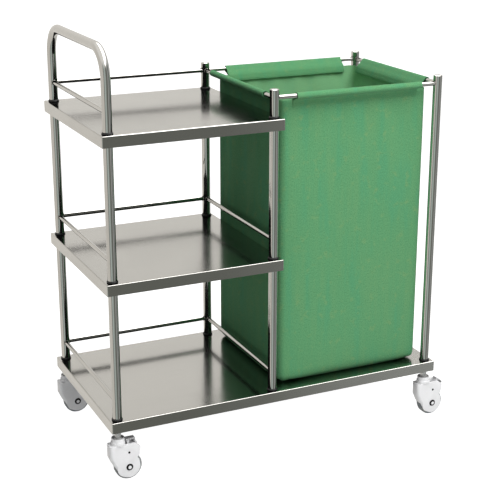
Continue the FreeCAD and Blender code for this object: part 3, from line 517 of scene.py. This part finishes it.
# %% [markdown]
# ## Working in edit mode
# Every operator acts on all that is selected, so each piece is opened alone, and then its vertices,
# edges or faces are chosen by where they are.

# %% Helpers for modelling
MERGED = 0.01 * MM


def only(piece):
    """Make this object the one that is selected and active."""
    bpy.ops.object.select_all(action="DESELECT")
    piece.select_set(True)
    bpy.context.view_layer.objects.active = piece


def begin(name, primitive, **settings):
    """Add a primitive, name it, bake its place into its mesh and open it."""
    bpy.ops.object.select_all(action="DESELECT")
    primitive(**settings)
    piece = bpy.context.object
    piece.name = piece.data.name = name
    bpy.ops.object.transform_apply(location=True, rotation=True, scale=True)
    bpy.ops.object.mode_set(mode="EDIT")
    return piece


def choose(piece, kind, wanted):
    """Select the open piece's verts, edges or faces that pass the test."""
    bpy.ops.mesh.select_mode(type={"verts": "VERT", "edges": "EDGE", "faces": "FACE"}[kind])
    bpy.ops.mesh.select_all(action="DESELECT")
    mesh = bmesh.from_edit_mesh(piece.data)
    for part in getattr(mesh, kind):
        if wanted(part):
            part.select_set(True)
    bmesh.update_edit_mesh(piece.data)


def push_out(x=0.0, y=0.0, z=0.0):
    """Extrude what is selected by that much."""
    bpy.ops.mesh.extrude_region_move(TRANSFORM_OT_translate={"value": (x, y, z)})


def smooth(piece, angle):
    """Smooth faces that keep their edges sharp where they meet at more than that angle."""
    only(piece)
    bpy.ops.object.shade_smooth_by_angle(angle=math.radians(angle))
    return piece


def close_up(piece, angle, outward=True):
    """Leave edit mode, with doubles merged and normals outward unless it is an open sheet."""
    if outward:
        bpy.ops.mesh.select_all(action="SELECT")
        bpy.ops.mesh.remove_doubles(threshold=MERGED)
        bpy.ops.mesh.normals_make_consistent(inside=False)
    bpy.ops.object.mode_set(mode="OBJECT")
    return smooth(piece, angle)


def apply_all(piece):
    """Apply every modifier in turn."""
    only(piece)
    for modifier in list(piece.modifiers):
        bpy.ops.object.modifier_apply(modifier=modifier.name)
    return piece


def dress(piece, material, body, replaced=()):
    """Finish a piece: its material, the body that it rides on, and what it stands for."""
    piece.data.materials.clear()
    piece.data.materials.append(material)
    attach(piece, body)
    if replaced:
        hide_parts(*replaced)
    print(f"{piece.name}: {len(piece.data.vertices)} vertices, {len(piece.data.polygons)} faces")
    return piece


# %% [markdown]
# ## The bag's body
# The real bag is cut as a cross: a floor with four walls, sewn at the upright corners. It hangs from
# its rim and stands its floor on the tray, so its walls are nearly taut: they bow a little, and the
# corners go soft. A box is bevelled at its upright corners and foot and sliced into a fine net, so
# that the cloth simulation can let it hang.

# %% Measure the bag
tray_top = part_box("bottom_tray")[1].z
middle_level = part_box("middle_shelf")[1].z
walls = [v.co for v in NODES["linen_bag"].data.vertices if v.co.z < middle_level]
bag_low = Vector(min(p[i] for p in walls) for i in range(3))
bag_high = Vector(max(p[i] for p in walls) for i in range(3))


def centre_of(node):
    """The middle of a node's box."""
    low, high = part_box(node)
    return (low + high) / 2


ROD_AXIS = centre_of("bag_front_rod").z
RIM = ROD_AXIS - 15 * MM
HEM = ROD_AXIS - 32 * MM
CORNER_RADIUS, FOOT_RADIUS, FLAP_SHORT = 19 * MM, 26 * MM, 33 * MM
bag_size = Vector((bag_high.x - bag_low.x, bag_high.y - bag_low.y, RIM - bag_low.z))
print(f"bag {bag_size.x:.3f} by {bag_size.y:.3f} by {bag_size.z:.3f} m")

# %% Shape the bag's box
bag_middle = Vector((
    (bag_low.x + bag_high.x) / 2, (bag_low.y + bag_high.y) / 2, (bag_low.z + RIM) / 2,
))
bag = begin(
    "bag_body", bpy.ops.mesh.primitive_cube_add, size=1, location=bag_middle, scale=bag_size
)
choose(bag, "faces", lambda face: face.normal.z > 0.9)
bpy.ops.mesh.delete(type="FACE")
choose(bag, "edges", lambda edge: abs((edge.verts[0].co - edge.verts[1].co).z) > 0.1)
bpy.ops.mesh.bevel(offset=CORNER_RADIUS, segments=6, affect="EDGES")
choose(bag, "edges", lambda edge: max(v.co.z for v in edge.verts) < bag_low.z + 1 * MM)
bpy.ops.mesh.bevel(offset=FOOT_RADIUS, segments=4, affect="EDGES")


def slices(low, high, count):
    """Places that divide a length evenly, ends left out."""
    return [low + (high - low) * i / count for i in range(1, count)]


CELLS_X, CELLS_Y, CELLS_Z = 30, 28, 58
for normal, places in (
    ((1, 0, 0), slices(bag_low.x + CORNER_RADIUS, bag_high.x - CORNER_RADIUS, CELLS_X)),
    ((0, 1, 0), slices(bag_low.y + CORNER_RADIUS, bag_high.y - CORNER_RADIUS, CELLS_Y)),
    ((0, 0, 1), slices(bag_low.z + FOOT_RADIUS, RIM, CELLS_Z)),
):
    for place in places:
        bpy.ops.mesh.select_all(action="SELECT")
        bpy.ops.mesh.bisect(plane_co=Vector(normal) * place, plane_no=normal)
bpy.ops.object.mode_set(mode="OBJECT")
print(f"bag net: {len(bag.data.vertices)} points")

# %% [markdown]
# The cloth's own map is laid before it hangs, in metres of flat cloth, so that the weave goes with
# the cloth however it bends.

# %% Map the cloth in metres


def map_cloth(piece, place_of):
    """Give a piece its UV map from a function of a corner's point and its face's normal."""
    layer = piece.data.uv_layers.new(name="cloth_metres")
    for face in piece.data.polygons:
        for loop in face.loop_indices:
            point = piece.data.vertices[piece.data.loops[loop].vertex_index].co
            layer.data[loop].uv = place_of(point, face.normal)


def on_wall(point, normal):
    """Metres across and up a wall, or across the floor; the end walls start half a metre on."""
    if abs(normal.z) > 0.7:
        return point.x, point.y
    if abs(normal.x) > abs(normal.y):
        return point.y + 0.5, point.z
    return point.x, point.z


map_cloth(bag, on_wall)
print(f"{bag.name} mapped at {len(bag.data.loops)} corners")

# %% [markdown]
# The rim is held where the flaps will be, and the rest falls, with a breath of pressure from inside
# as the linen in it would give. The tray stops the floor. The cloth is stiff and its threads draw in
# a little. The real bag is nearly taut, so afterwards no point may have moved further than a few
# millimetres: that keeps the bag clear of the posts, whatever the simulation does.

# %% Let the bag hang
STEPS = 26
REACH, LIFT = 7 * MM, 4 * MM
hold = bag.vertex_groups.new(name="held")
held = 0
for vertex in bag.data.vertices:
    p = vertex.co
    along_x = bag_low.x + FLAP_SHORT < p.x < bag_high.x - FLAP_SHORT
    along_y = bag_low.y + FLAP_SHORT < p.y < bag_high.y - FLAP_SHORT
    if p.z > HEM and (along_x or along_y):
        hold.add([vertex.index], 1.0, "REPLACE")
        held += 1
rest_shape = [vertex.co.copy() for vertex in bag.data.vertices]

bpy.ops.object.select_all(action="DESELECT")
bpy.ops.mesh.primitive_plane_add(
    size=1.2, location=((bag_low.x + bag_high.x) / 2, 0, tray_top - 0.4 * MM)
)
tray_stop = bpy.context.object
tray_stop.modifiers.new("stop", "COLLISION")
tray_stop.collision.thickness_outer = 0.001
cloth = bag.modifiers.new("hang", "CLOTH")
settings = cloth.settings
settings.quality = 8
settings.mass = 0.02
settings.tension_stiffness = settings.compression_stiffness = 60
settings.shear_stiffness = 30
settings.bending_stiffness = 3
settings.air_damping = 2
settings.use_pressure = True
settings.uniform_pressure_force = 0.12
settings.vertex_group_mass = "held"
settings.shrink_min = -0.006
cloth.collision_settings.distance_min = 0.001
cloth.point_cache.frame_start, cloth.point_cache.frame_end = 1, STEPS
for step in range(1, STEPS + 1):
    scene.frame_set(step)
only(bag)
bpy.ops.object.modifier_apply(modifier="hang")
scene.frame_set(1)
bpy.data.objects.remove(tray_stop)
furthest = 0.0
for vertex, start in zip(bag.data.vertices, rest_shape):
    shift = vertex.co - start
    for axis, most in enumerate((REACH, REACH, LIFT)):
        shift[axis] = min(max(shift[axis], -most), most)
    vertex.co = start + shift
    vertex.co.z = max(vertex.co.z, bag_low.z)
    furthest = max(furthest, shift.length)
print(f"bag hung: {held} points held, moved {furthest * 1000:.1f} mm at most")

# %% [markdown]
# The net has no thickness yet. Solidify grows it inwards, so that the outside keeps its size. Each
# face then says whether it looks towards the middle of the bag, which the cloth's finish reads.

# %% Give the bag its thickness
BAG_CLOTH = 1.4 * MM
bag.vertex_groups.clear()
wall_of_cloth = bag.modifiers.new("cloth", "SOLIDIFY")
wall_of_cloth.thickness, wall_of_cloth.offset = BAG_CLOTH, -1
smooth(apply_all(bag), 50)
bag_centre = (bag_low + bag_high) / 2
# Faces that look inwards get painted light in the cloth's finish.
inner_side = bag.data.attributes.new("inner_side", "FLOAT", "FACE")
for face in bag.data.polygons:
    inner_side.data[face.index].value = float(face.normal.dot(bag_centre - face.center) > 0)
inner_faces = sum(spot.value for spot in inner_side.data)
print(f"{inner_faces:.0f} of {len(bag.data.polygons)} faces look inwards")
dress(bag, FINISHES["bag_cloth"], "root", ["linen_bag"])

# %% [markdown]
# ## The flaps
# The top of each wall is taken round its rod as a sleeve and comes down again inside the bag to a
# turned hem. It is drawn as it looks from its end: most of a circle round the rod, then one end
# drawn down inside the bag and turned up, and the other tucked in under the sleeve and down the
# outside of the wall. The whole outline is extruded along the rod.

# %% Draw one flap's outline round its rod
CLOTH = 1.3 * MM
SLEEVE = 8.75 * MM - CLOTH / 2
INNER_GAP, OUTER_GAP = 2.9 * MM, 0.2 * MM
FLAP_STEPS = 44
# Millimetres inwards from the wall of the bag on that side, and up from the rod's axis.
INNER_DROP = (
    (-0.6, -13.5), (0.6, -19), (1.8, -25), (3.4, -30.5), (4.1, -32), (5.1, -31.8), (5.3, -30.4),
    (3.6, -23),
)
OUTER_DROP = ((-0.5, -16.6), (0, -20.5), (0, -26), (0, -32))


def draw_on(piece, first, steps, place):
    """Draw an open line on from the point nearest to a place, through more places."""
    here = place(*first)
    for step in steps:
        there = place(*step)
        nearest = min(bmesh.from_edit_mesh(piece.data).verts, key=lambda v: (v.co - here).length)
        spot = nearest.co.copy()
        choose(piece, "verts", lambda v: (v.co - spot).length < 1e-6)
        push_out(*(there - spot))
        here = there


def flap(name, along, rod, inward, gap, start, end):
    """One flap round a rod that runs along X or Y; gap is from the rod's axis to the wall."""
    def place(inwards, up):
        across, height = rod + inward * inwards, ROD_AXIS + up
        return Vector((start, across, height) if along == "X" else (across, start, height))

    turn = (0, math.pi / 2, 0) if along == "X" else (math.pi / 2, 0, 0)
    piece = begin(
        name, bpy.ops.mesh.primitive_circle_add, vertices=24, radius=SLEEVE,
        location=place(0, 0), rotation=turn,
    )

    def in_gap(v):
        inwards = ((v.co.y if along == "X" else v.co.x) - rod) * inward
        up = v.co.z - ROD_AXIS
        return inwards > (0.55 if up > 0 else 0.2) * SLEEVE

    choose(piece, "verts", in_gap)
    bpy.ops.mesh.delete(type="VERT")
    inner = gap + INNER_GAP
    draw_on(piece, (0.5 * SLEEVE, 0.87 * SLEEVE), [
        (gap * 0.42, 1.2 * MM), (gap * 0.72, -6.2 * MM),
        *((inner + out * MM, up * MM) for out, up in INNER_DROP),
    ], place)
    outer = gap - CLOTH / 2 - OUTER_GAP
    draw_on(piece, (0.17 * SLEEVE, -0.98 * SLEEVE), [
        (gap * 0.30, -9.8 * MM), (gap * 0.52, -11.6 * MM), (gap * 0.76, -13.6 * MM),
        *((outer + out * MM, up * MM) for out, up in OUTER_DROP),
    ], place)
    outline_length = sum(edge.calc_length() for edge in bmesh.from_edit_mesh(piece.data).edges)
    bpy.ops.mesh.select_all(action="SELECT")
    for _ in range(FLAP_STEPS):
        push_out(**{along.lower(): (end - start) / FLAP_STEPS})
    close_up(piece, 60, outward=False)
    return piece, outline_length


# %% [markdown]
# A sewn sleeve is never quite even: it pinches at each stitch and swells between them. A small
# wandering swell is put on each flap's points, more on the free spans than on the rod.

# %% Pucker, map and thicken a flap


def finish_flap(piece, along, rod, inward):
    """Move a flap's points a little at random, map its cloth and thicken it."""
    across_axis = 1 if along == "X" else 0
    along_axis = 1 - across_axis
    for vertex in piece.data.vertices:
        p = vertex.co
        run = p[along_axis]
        up = p.z - ROD_AXIS
        out = (p[across_axis] - rod) * inward
        slack = min(1.0, max(0.0, out / (20 * MM))) if up > -30 * MM else 0.3
        wander = noise.noise(Vector((run * 38, up * 40, rod * 9)))
        ripple = noise.noise(Vector((run * 140, up * 20, rod * 17)))
        p.z += (wander * 1.0 + ripple * 0.35) * MM * slack
        p[across_axis] += inward * ripple * 0.3 * MM * slack
    map_cloth(piece, lambda point, normal: (
        point[along_axis],
        math.atan2(point.z - ROD_AXIS, (point[across_axis] - rod) * inward) * 0.02
        + (point.z - ROD_AXIS) * 1.5,
    ))
    shell = piece.modifiers.new("cloth", "SOLIDIFY")
    shell.thickness, shell.offset = CLOTH, 0
    apply_all(piece)
    bpy.ops.object.mode_set(mode="EDIT")
    bpy.ops.mesh.select_all(action="SELECT")
    bpy.ops.mesh.normals_make_consistent(inside=False)
    bpy.ops.object.mode_set(mode="OBJECT")
    smooth(piece, 60)


FLAPS = {
    "bag_front_flap": ("X", "bag_front_rod", 1, bag_low.x, bag_high.x, bag_low.y),
    "bag_back_flap": ("X", "bag_back_rod", -1, bag_low.x, bag_high.x, bag_high.y),
    "bag_left_flap": ("Y", "bag_left_rod", 1, bag_low.y, bag_high.y, bag_low.x),
    "bag_right_flap": ("Y", "bag_right_rod", -1, bag_low.y, bag_high.y, bag_high.x),
}
for name, (along, rod_name, inward, low, high, wall) in FLAPS.items():
    rod = centre_of(rod_name)[1 if along == "X" else 0]
    start, end = low + FLAP_SHORT, high - FLAP_SHORT
    piece, outline_length = flap(name, along, rod, inward, abs(wall - rod), start, end)
    finish_flap(piece, along, rod, inward)
    dress(piece, FINISHES["bag_cloth"], "root")
    print(f"{name}: cut {(end - start) * 1000:.0f} by {outline_length * 1000:.0f} mm")

# %% [markdown]
# The body's cut is a cross that fits in a box: the floor with a wall folded out on each
# side of it.

# %% [markdown]
# ## Copies
# Much of a trolley repeats: four casters, fourteen post feet, two dozen welds, hundreds of stitches.
# Each is modelled once. A copy gets its own mesh, and the mesh itself is carried to its place, so
# that every finished object still stands unturned at the origin.

# %% Helpers for copies


def copy_to(piece, name, carry):
    """A copy with its own mesh, carried to its place by a matrix."""
    copied = bpy.data.objects.new(name, piece.data.copy())
    copied.data.name = name
    scene.collection.objects.link(copied)
    copied.data.transform(carry)
    return copied


def gathered(name, pieces):
    """Join several objects into one piece."""
    bpy.ops.object.select_all(action="DESELECT")
    for piece in pieces:
        piece.select_set(True)
    bpy.context.view_layer.objects.active = pieces[0]
    bpy.ops.object.join()
    pieces[0].name = pieces[0].data.name = name
    return pieces[0]


def spread(pattern, name, carries):
    """One piece made of copies of a pattern, which is then thrown away."""
    copies = [copy_to(pattern, f"{name}_{i}", carry) for i, carry in enumerate(carries)]
    bpy.data.objects.remove(pattern)
    return gathered(name, copies)


def at(x, y, z):
    """A move from the origin to that place."""
    return Matrix.Translation((x, y, z))


print("copying helpers ready")

# %% [markdown]
# ## Post feet
# Where a post stands on a shelf, the joint lies in shade. That shade is painted as a thin black
# ring, which flares from the tube to the sheet. It is a low cylinder whose upper edge is drawn in
# to the tube and whose lower edge is rounded.

# %% Model one foot and set it round every post
TUBE_RADIUS = 12.5 * MM
FOOT_HEIGHT, FOOT_SPREAD = 2.4 * MM, 2.2 * MM
left_x = centre_of("top_left_rail").x
middle_x, right_x = centre_of("mid_front_post").x, centre_of("right_front_post").x
back_rail_y, front_rod_y = centre_of("top_back_rail").y, centre_of("bag_front_rod").y
foot = begin(
    "foot_pattern", bpy.ops.mesh.primitive_cylinder_add, vertices=48,
    radius=TUBE_RADIUS + FOOT_SPREAD, depth=FOOT_HEIGHT, location=(0, 0, FOOT_HEIGHT / 2),
)
choose(foot, "faces", lambda face: face.normal.z > 0.9)
for rise, width in ((1.2, 0.965), (1.2, 0.93), (1.4, 0.94)):
    push_out(z=rise * MM)
    bpy.ops.transform.resize(value=(width, width, 1), center_override=(0, 0, 0))
choose(foot, "edges", lambda edge: max(v.co.z for v in edge.verts) < 0.1 * MM)
bpy.ops.mesh.bevel(offset=0.5 * MM, segments=2, affect="EDGES")
close_up(foot, 40)
shelf_posts = (left_x, middle_x)
foot_spots = [
    at(x, y, level)
    for level, posts in (
        (tray_top, (*shelf_posts, right_x)), (middle_level, shelf_posts),
        (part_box("top_shelf")[1].z, shelf_posts),
    )
    for x in posts
    for y in (front_rod_y, back_rail_y)
]
# The black rings paint the shade in the joint between each post and its shelf.
feet = spread(foot, "post_feet", foot_spots)
dress(feet, foot_shade_finish, "root")
print(f"{len(foot_spots)} feet")

# %% [markdown]
# ## Welds
# Each rail meets its post in a run of weld. A ring round a thin tube would stand off a round post at
# its sides, so the ring is bent on to the post: each point slides along the rail to where the post's
# surface is. The overlapping puddles of the weld are a ripple round the ring.

# %% Model one weld and set it at both ends of every rail
RAIL_RADIUS, BEAD_RADIUS = 6 * MM, 1.1 * MM
PUDDLES, PUDDLE_HEIGHT = 16, 0.035
weld = begin(
    "weld_pattern", bpy.ops.mesh.primitive_torus_add, major_radius=RAIL_RADIUS + 0.2 * MM,
    minor_radius=BEAD_RADIUS, major_segments=44, minor_segments=8, rotation=(0, math.pi / 2, 0),
)
bpy.ops.object.mode_set(mode="OBJECT")
for vertex in weld.data.vertices:
    p = vertex.co
    ripple = 1 + PUDDLE_HEIGHT * math.sin(math.atan2(p.z, p.y) * PUDDLES)
    across = p.y * ripple
    p.x += math.sqrt(TUBE_RADIUS ** 2 - min(abs(across), 0.9 * TUBE_RADIUS) ** 2) + 0.1 * MM
    p.y, p.z = across, p.z * ripple
smooth(weld, 60)
ALONG_X = ("top_back_rail", "middle_back_rail", "bottom_back_rail", "bag_front_rod", "bag_back_rod")
ALONG_Y = (
    "top_left_rail", "middle_left_rail", "bottom_left_rail", "middle_right_rail",
    "bottom_right_rail", "bag_left_rod", "bag_right_rod",
)
weld_spots = []
for name in ALONG_X:
    mid = centre_of(name)
    posts = shelf_posts if mid.x < middle_x else (middle_x, right_x)
    for x, turn in zip(posts, (0, math.pi)):
        weld_spots.append(at(x, mid.y, mid.z) @ Matrix.Rotation(turn, 4, "Z"))
for name in ALONG_Y:
    mid = centre_of(name)
    for y, turn in ((front_rod_y, math.pi / 2), (back_rail_y, -math.pi / 2)):
        weld_spots.append(at(mid.x, y, mid.z) @ Matrix.Rotation(turn, 4, "Z"))
welds = spread(weld, "rail_welds", weld_spots)
dress(welds, weld_finish, "root")
print(f"{len(weld_spots)} welds")

# %% [markdown]
# ## Casters
# Each hood is one nylon moulding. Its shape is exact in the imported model, but a mould leaves no
# sharp edge, so a copy is merged, its flat faces are cleared of their triangles, and every edge is
# rounded. The side covers are drawn in a little round the axle, most at their middle and not at all
# at the ends of that arc, which shows the tread beside them.

# %% Round the edges of a copied node


def softened(name, node, width, segments=3):
    """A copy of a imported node, merged, with its edges rounded to that width."""
    piece = bpy.data.objects.new(name, NODES[node].data.copy())
    piece.data.name = name
    scene.collection.objects.link(piece)
    only(piece)
    if piece.data.has_custom_normals:
        bpy.ops.mesh.customdata_custom_splitnormals_clear()
    bpy.ops.object.mode_set(mode="EDIT")
    bpy.ops.mesh.select_all(action="SELECT")
    bpy.ops.mesh.remove_doubles(threshold=MERGED)
    bpy.ops.mesh.dissolve_limited(angle_limit=math.radians(0.5))
    bpy.ops.object.mode_set(mode="OBJECT")
    rounding = piece.modifiers.new("rounding", "BEVEL")
    rounding.width, rounding.segments = width, segments
    rounding.limit_method, rounding.angle_limit = "ANGLE", math.radians(35)
    return smooth(apply_all(piece), 40)


FIRST = CORNERS[0]
stem_axis = {corner: centre_of(f"{corner}_stem") for corner in CORNERS}
axle_centre = centre_of(f"{FIRST}_axle")
hood = softened("hood_pattern", f"{FIRST}_housing", 0.9 * MM)
COVER_RADIUS, DRAWN_IN = 33.5 * MM, 0.1
ARC_START, ARC_END, FADE = -148, 42, 30
drawn = 0
for vertex in hood.data.vertices:
    out = vertex.co - axle_centre
    radius, angle = math.hypot(out.x, out.z), math.degrees(math.atan2(out.z, out.x))
    if radius > 0.9 * COVER_RADIUS and ARC_START < angle < ARC_END:
        ends = min(1.0, (angle - ARC_START) / FADE, (ARC_END - angle) / FADE)
        share = DRAWN_IN * ends * ends * (3 - 2 * ends)
        vertex.co -= Vector((out.x, 0, out.z)) * share
        drawn += 1
print(f"cover drawn in at {drawn} points")


def carried(corner):
    """From the first caster to this one."""
    return Matrix.Translation(stem_axis[corner] - stem_axis[FIRST])


for corner in CORNERS:
    piece = copy_to(hood, f"{corner}_hood", carried(corner))
    dress(
        piece, FINISHES["caster_housing"], f"{corner}_swivel",
        [f"{corner}_housing"],
    )
bpy.data.objects.remove(hood)

# %% [markdown]
# The wheel's axle ends in a dark washer with a pale plug over its head on each side, and the pedal's
# pin in two small domed heads. A plug is a disc with a rounded rim and a shallow round dimple.

# %% Model the washers, plugs and pin heads
pin_centre = centre_of(f"{FIRST}_pedal_pin")
HOOD_SIDE = 17 * MM
HEAD_FACE = 19.5 * MM


def disc(name, place, side, radius, inner, outer, rim, dimple=0.0):
    """A round plate across Y, from one distance from the caster's middle to another."""
    piece = begin(
        name, bpy.ops.mesh.primitive_cylinder_add, vertices=40, radius=radius, depth=outer - inner,
        location=place + Vector((0, side * (inner + outer) / 2, 0)), rotation=(math.pi / 2, 0, 0),
    )
    choose(piece, "faces", lambda face: face.normal.y * side > 0.9)
    bpy.ops.mesh.bevel(offset=rim, segments=3, affect="EDGES")
    if dimple:
        choose(piece, "faces", lambda face: face.normal.y * side > 0.9 and len(face.verts) > 20)
        bpy.ops.mesh.inset(thickness=radius * 0.42, depth=0)
        bpy.ops.mesh.inset(thickness=0.3 * MM, depth=-dimple)
    return close_up(piece, 35)


def pair(name, place, *sizes):
    """The same plate on both sides of a caster, as one piece."""
    return gathered(name, [disc(f"{name}_{side}", place, side, *sizes) for side in (-1, 1)])


# What it is, where, its finish, the face that it stands on, and in millimetres: its radius, how far
# it goes in and out from that face, its rim, and its dimple.
TRIM = (
    ("washers", axle_centre, "dark_hardware", HOOD_SIDE, (9.6, 0.4, 0.9, 0.4, 0)),
    ("plugs", axle_centre, "caster_housing", HEAD_FACE, (4.8, 0.3, 0.6, 0.35, 0.4)),
    ("pin_heads", pin_centre, "dark_hardware", HOOD_SIDE, (3.1, 0.4, 0.7, 0.6, 0)),
)
for label, place, finish_name, face_y, sizes in TRIM:
    radius, sunk, proud, rim, dimple = (size * MM for size in sizes)
    pattern = pair(
        f"{label}_pattern", place, radius, face_y - sunk, face_y + proud, rim, dimple
    )
    for corner in CORNERS:
        piece = copy_to(pattern, f"{corner}_{label}", carried(corner))
        dress(piece, FINISHES[finish_name], f"{corner}_swivel")
    bpy.data.objects.remove(pattern)

# %% [markdown]
# A brake pedal has raised ribs across its plate, so that a shoe doesn't slip off. The ribs are one
# rounded bar repeated by an array, and join the softened pedal. The pedal at the front right corner
# is pressed down at rest, so its copy is turned about its pin as well.

# %% Model the pedal and its ribs
PRESSED = math.radians(35)
RIB_SIZE = Vector((1.5, 14, 1.4)) * MM
RIB_COUNT, RIB_PITCH = 5, 4.3 * MM
pedal = softened("pedal_pattern", f"{FIRST}_brake_pedal", 0.5 * MM, 2)
plate_low, plate_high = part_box(f"{FIRST}_brake_pedal")
first_rib = Vector((plate_low.x + 5.5 * MM, pin_centre.y, plate_high.z))
rib = begin(
    "rib", bpy.ops.mesh.primitive_cube_add, size=1, location=first_rib, scale=RIB_SIZE
)
choose(rib, "edges", lambda edge: min(v.co.z for v in edge.verts) > first_rib.z)
bpy.ops.mesh.bevel(offset=0.55 * MM, segments=3, affect="EDGES")
close_up(rib, 40)
row = rib.modifiers.new("row", "ARRAY")
row.count, row.use_relative_offset, row.use_constant_offset = RIB_COUNT, False, True
row.constant_offset_displace = (RIB_PITCH, 0, 0)
apply_all(rib)
pedal = gathered("pedal_pattern", [pedal, rib])
for corner in CORNERS:
    piece = copy_to(pedal, f"{corner}_pedal_plate", carried(corner))
    if corner == "front_right":
        pin = centre_of(f"{corner}_pedal_pin")
        piece.data.transform(
            Matrix.Translation(pin) @ Matrix.Rotation(PRESSED, 4, "Y") @ Matrix.Translation(-pin)
        )
        packed_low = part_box(f"{corner}_brake_pedal")[0].z
        made_low = min(v.co.z for v in piece.data.vertices)
        print(f"pressed pedal's lowest point {made_low:.4f}, in the packed model {packed_low:.4f}")
    dress(
        piece, FINISHES["brake_pedal"], f"{corner}_pedal",
        [f"{corner}_brake_pedal"],
    )
bpy.data.objects.remove(pedal)

# %% [markdown]
# ## Stitching
# Each flap is sewn twice: below the sleeve on the outside, and along the hem inside the bag. One
# stitch is a small spindle of thread. Every copy is set on the nearest point of the cloth, so the
# row follows the puckers.

# %% Model one stitch and sew the rows
STITCH_PITCH, STITCH_HALF, STITCH_RISE = 4.5 * MM, 1.55 * MM, 0.12 * MM
ROW_END = 3 * MM
stitch = begin(
    "stitch_pattern", bpy.ops.mesh.primitive_uv_sphere_add, segments=6, ring_count=5,
    radius=STITCH_HALF, rotation=(0, math.pi / 2, 0),
)
bpy.ops.mesh.select_all(action="SELECT")
bpy.ops.transform.resize(value=(1, 0.24, 0.2), center_override=(0, 0, 0))
close_up(stitch, 80)


def sewn_row(flap_piece, along, across, up, start, end):
    """Places for one row of stitches: on the cloth nearest to a straight line beside it."""
    spots = []
    count = int((end - start) / STITCH_PITCH)
    for i in range(count):
        run = start + (i + 0.5) * (end - start) / count
        aim = Vector((run, across, up) if along == "X" else (across, run, up))
        _, place, normal, _ = flap_piece.closest_point_on_mesh(aim)
        forward = Vector((1, 0, 0) if along == "X" else (0, 1, 0))
        forward = (forward - normal * forward.dot(normal)).normalized()
        turn = Matrix((forward, normal.cross(forward), normal)).transposed().to_4x4()
        spots.append(Matrix.Translation(place + normal * STITCH_RISE) @ turn)
    return spots


for name, (along, rod_name, inward, low, high, wall) in FLAPS.items():
    rod = centre_of(rod_name)[1 if along == "X" else 0]
    gap = abs(wall - rod)
    start, end = low + FLAP_SHORT + ROW_END, high - FLAP_SHORT - ROW_END
    flap_piece = bpy.data.objects[name]
    rows = []
    for out, drop in ((-8 * MM, 28 * MM), (12 * MM, 26 * MM)):
        line = rod + inward * (gap + out)
        rows += sewn_row(flap_piece, along, line, ROD_AXIS - drop, start, end)
    pattern = copy_to(stitch, "one_stitch", Matrix.Identity(4))
    stitches = spread(pattern, f"{name}_stitches", rows)
    dress(stitches, thread_finish, "root")
bpy.data.objects.remove(stitch)
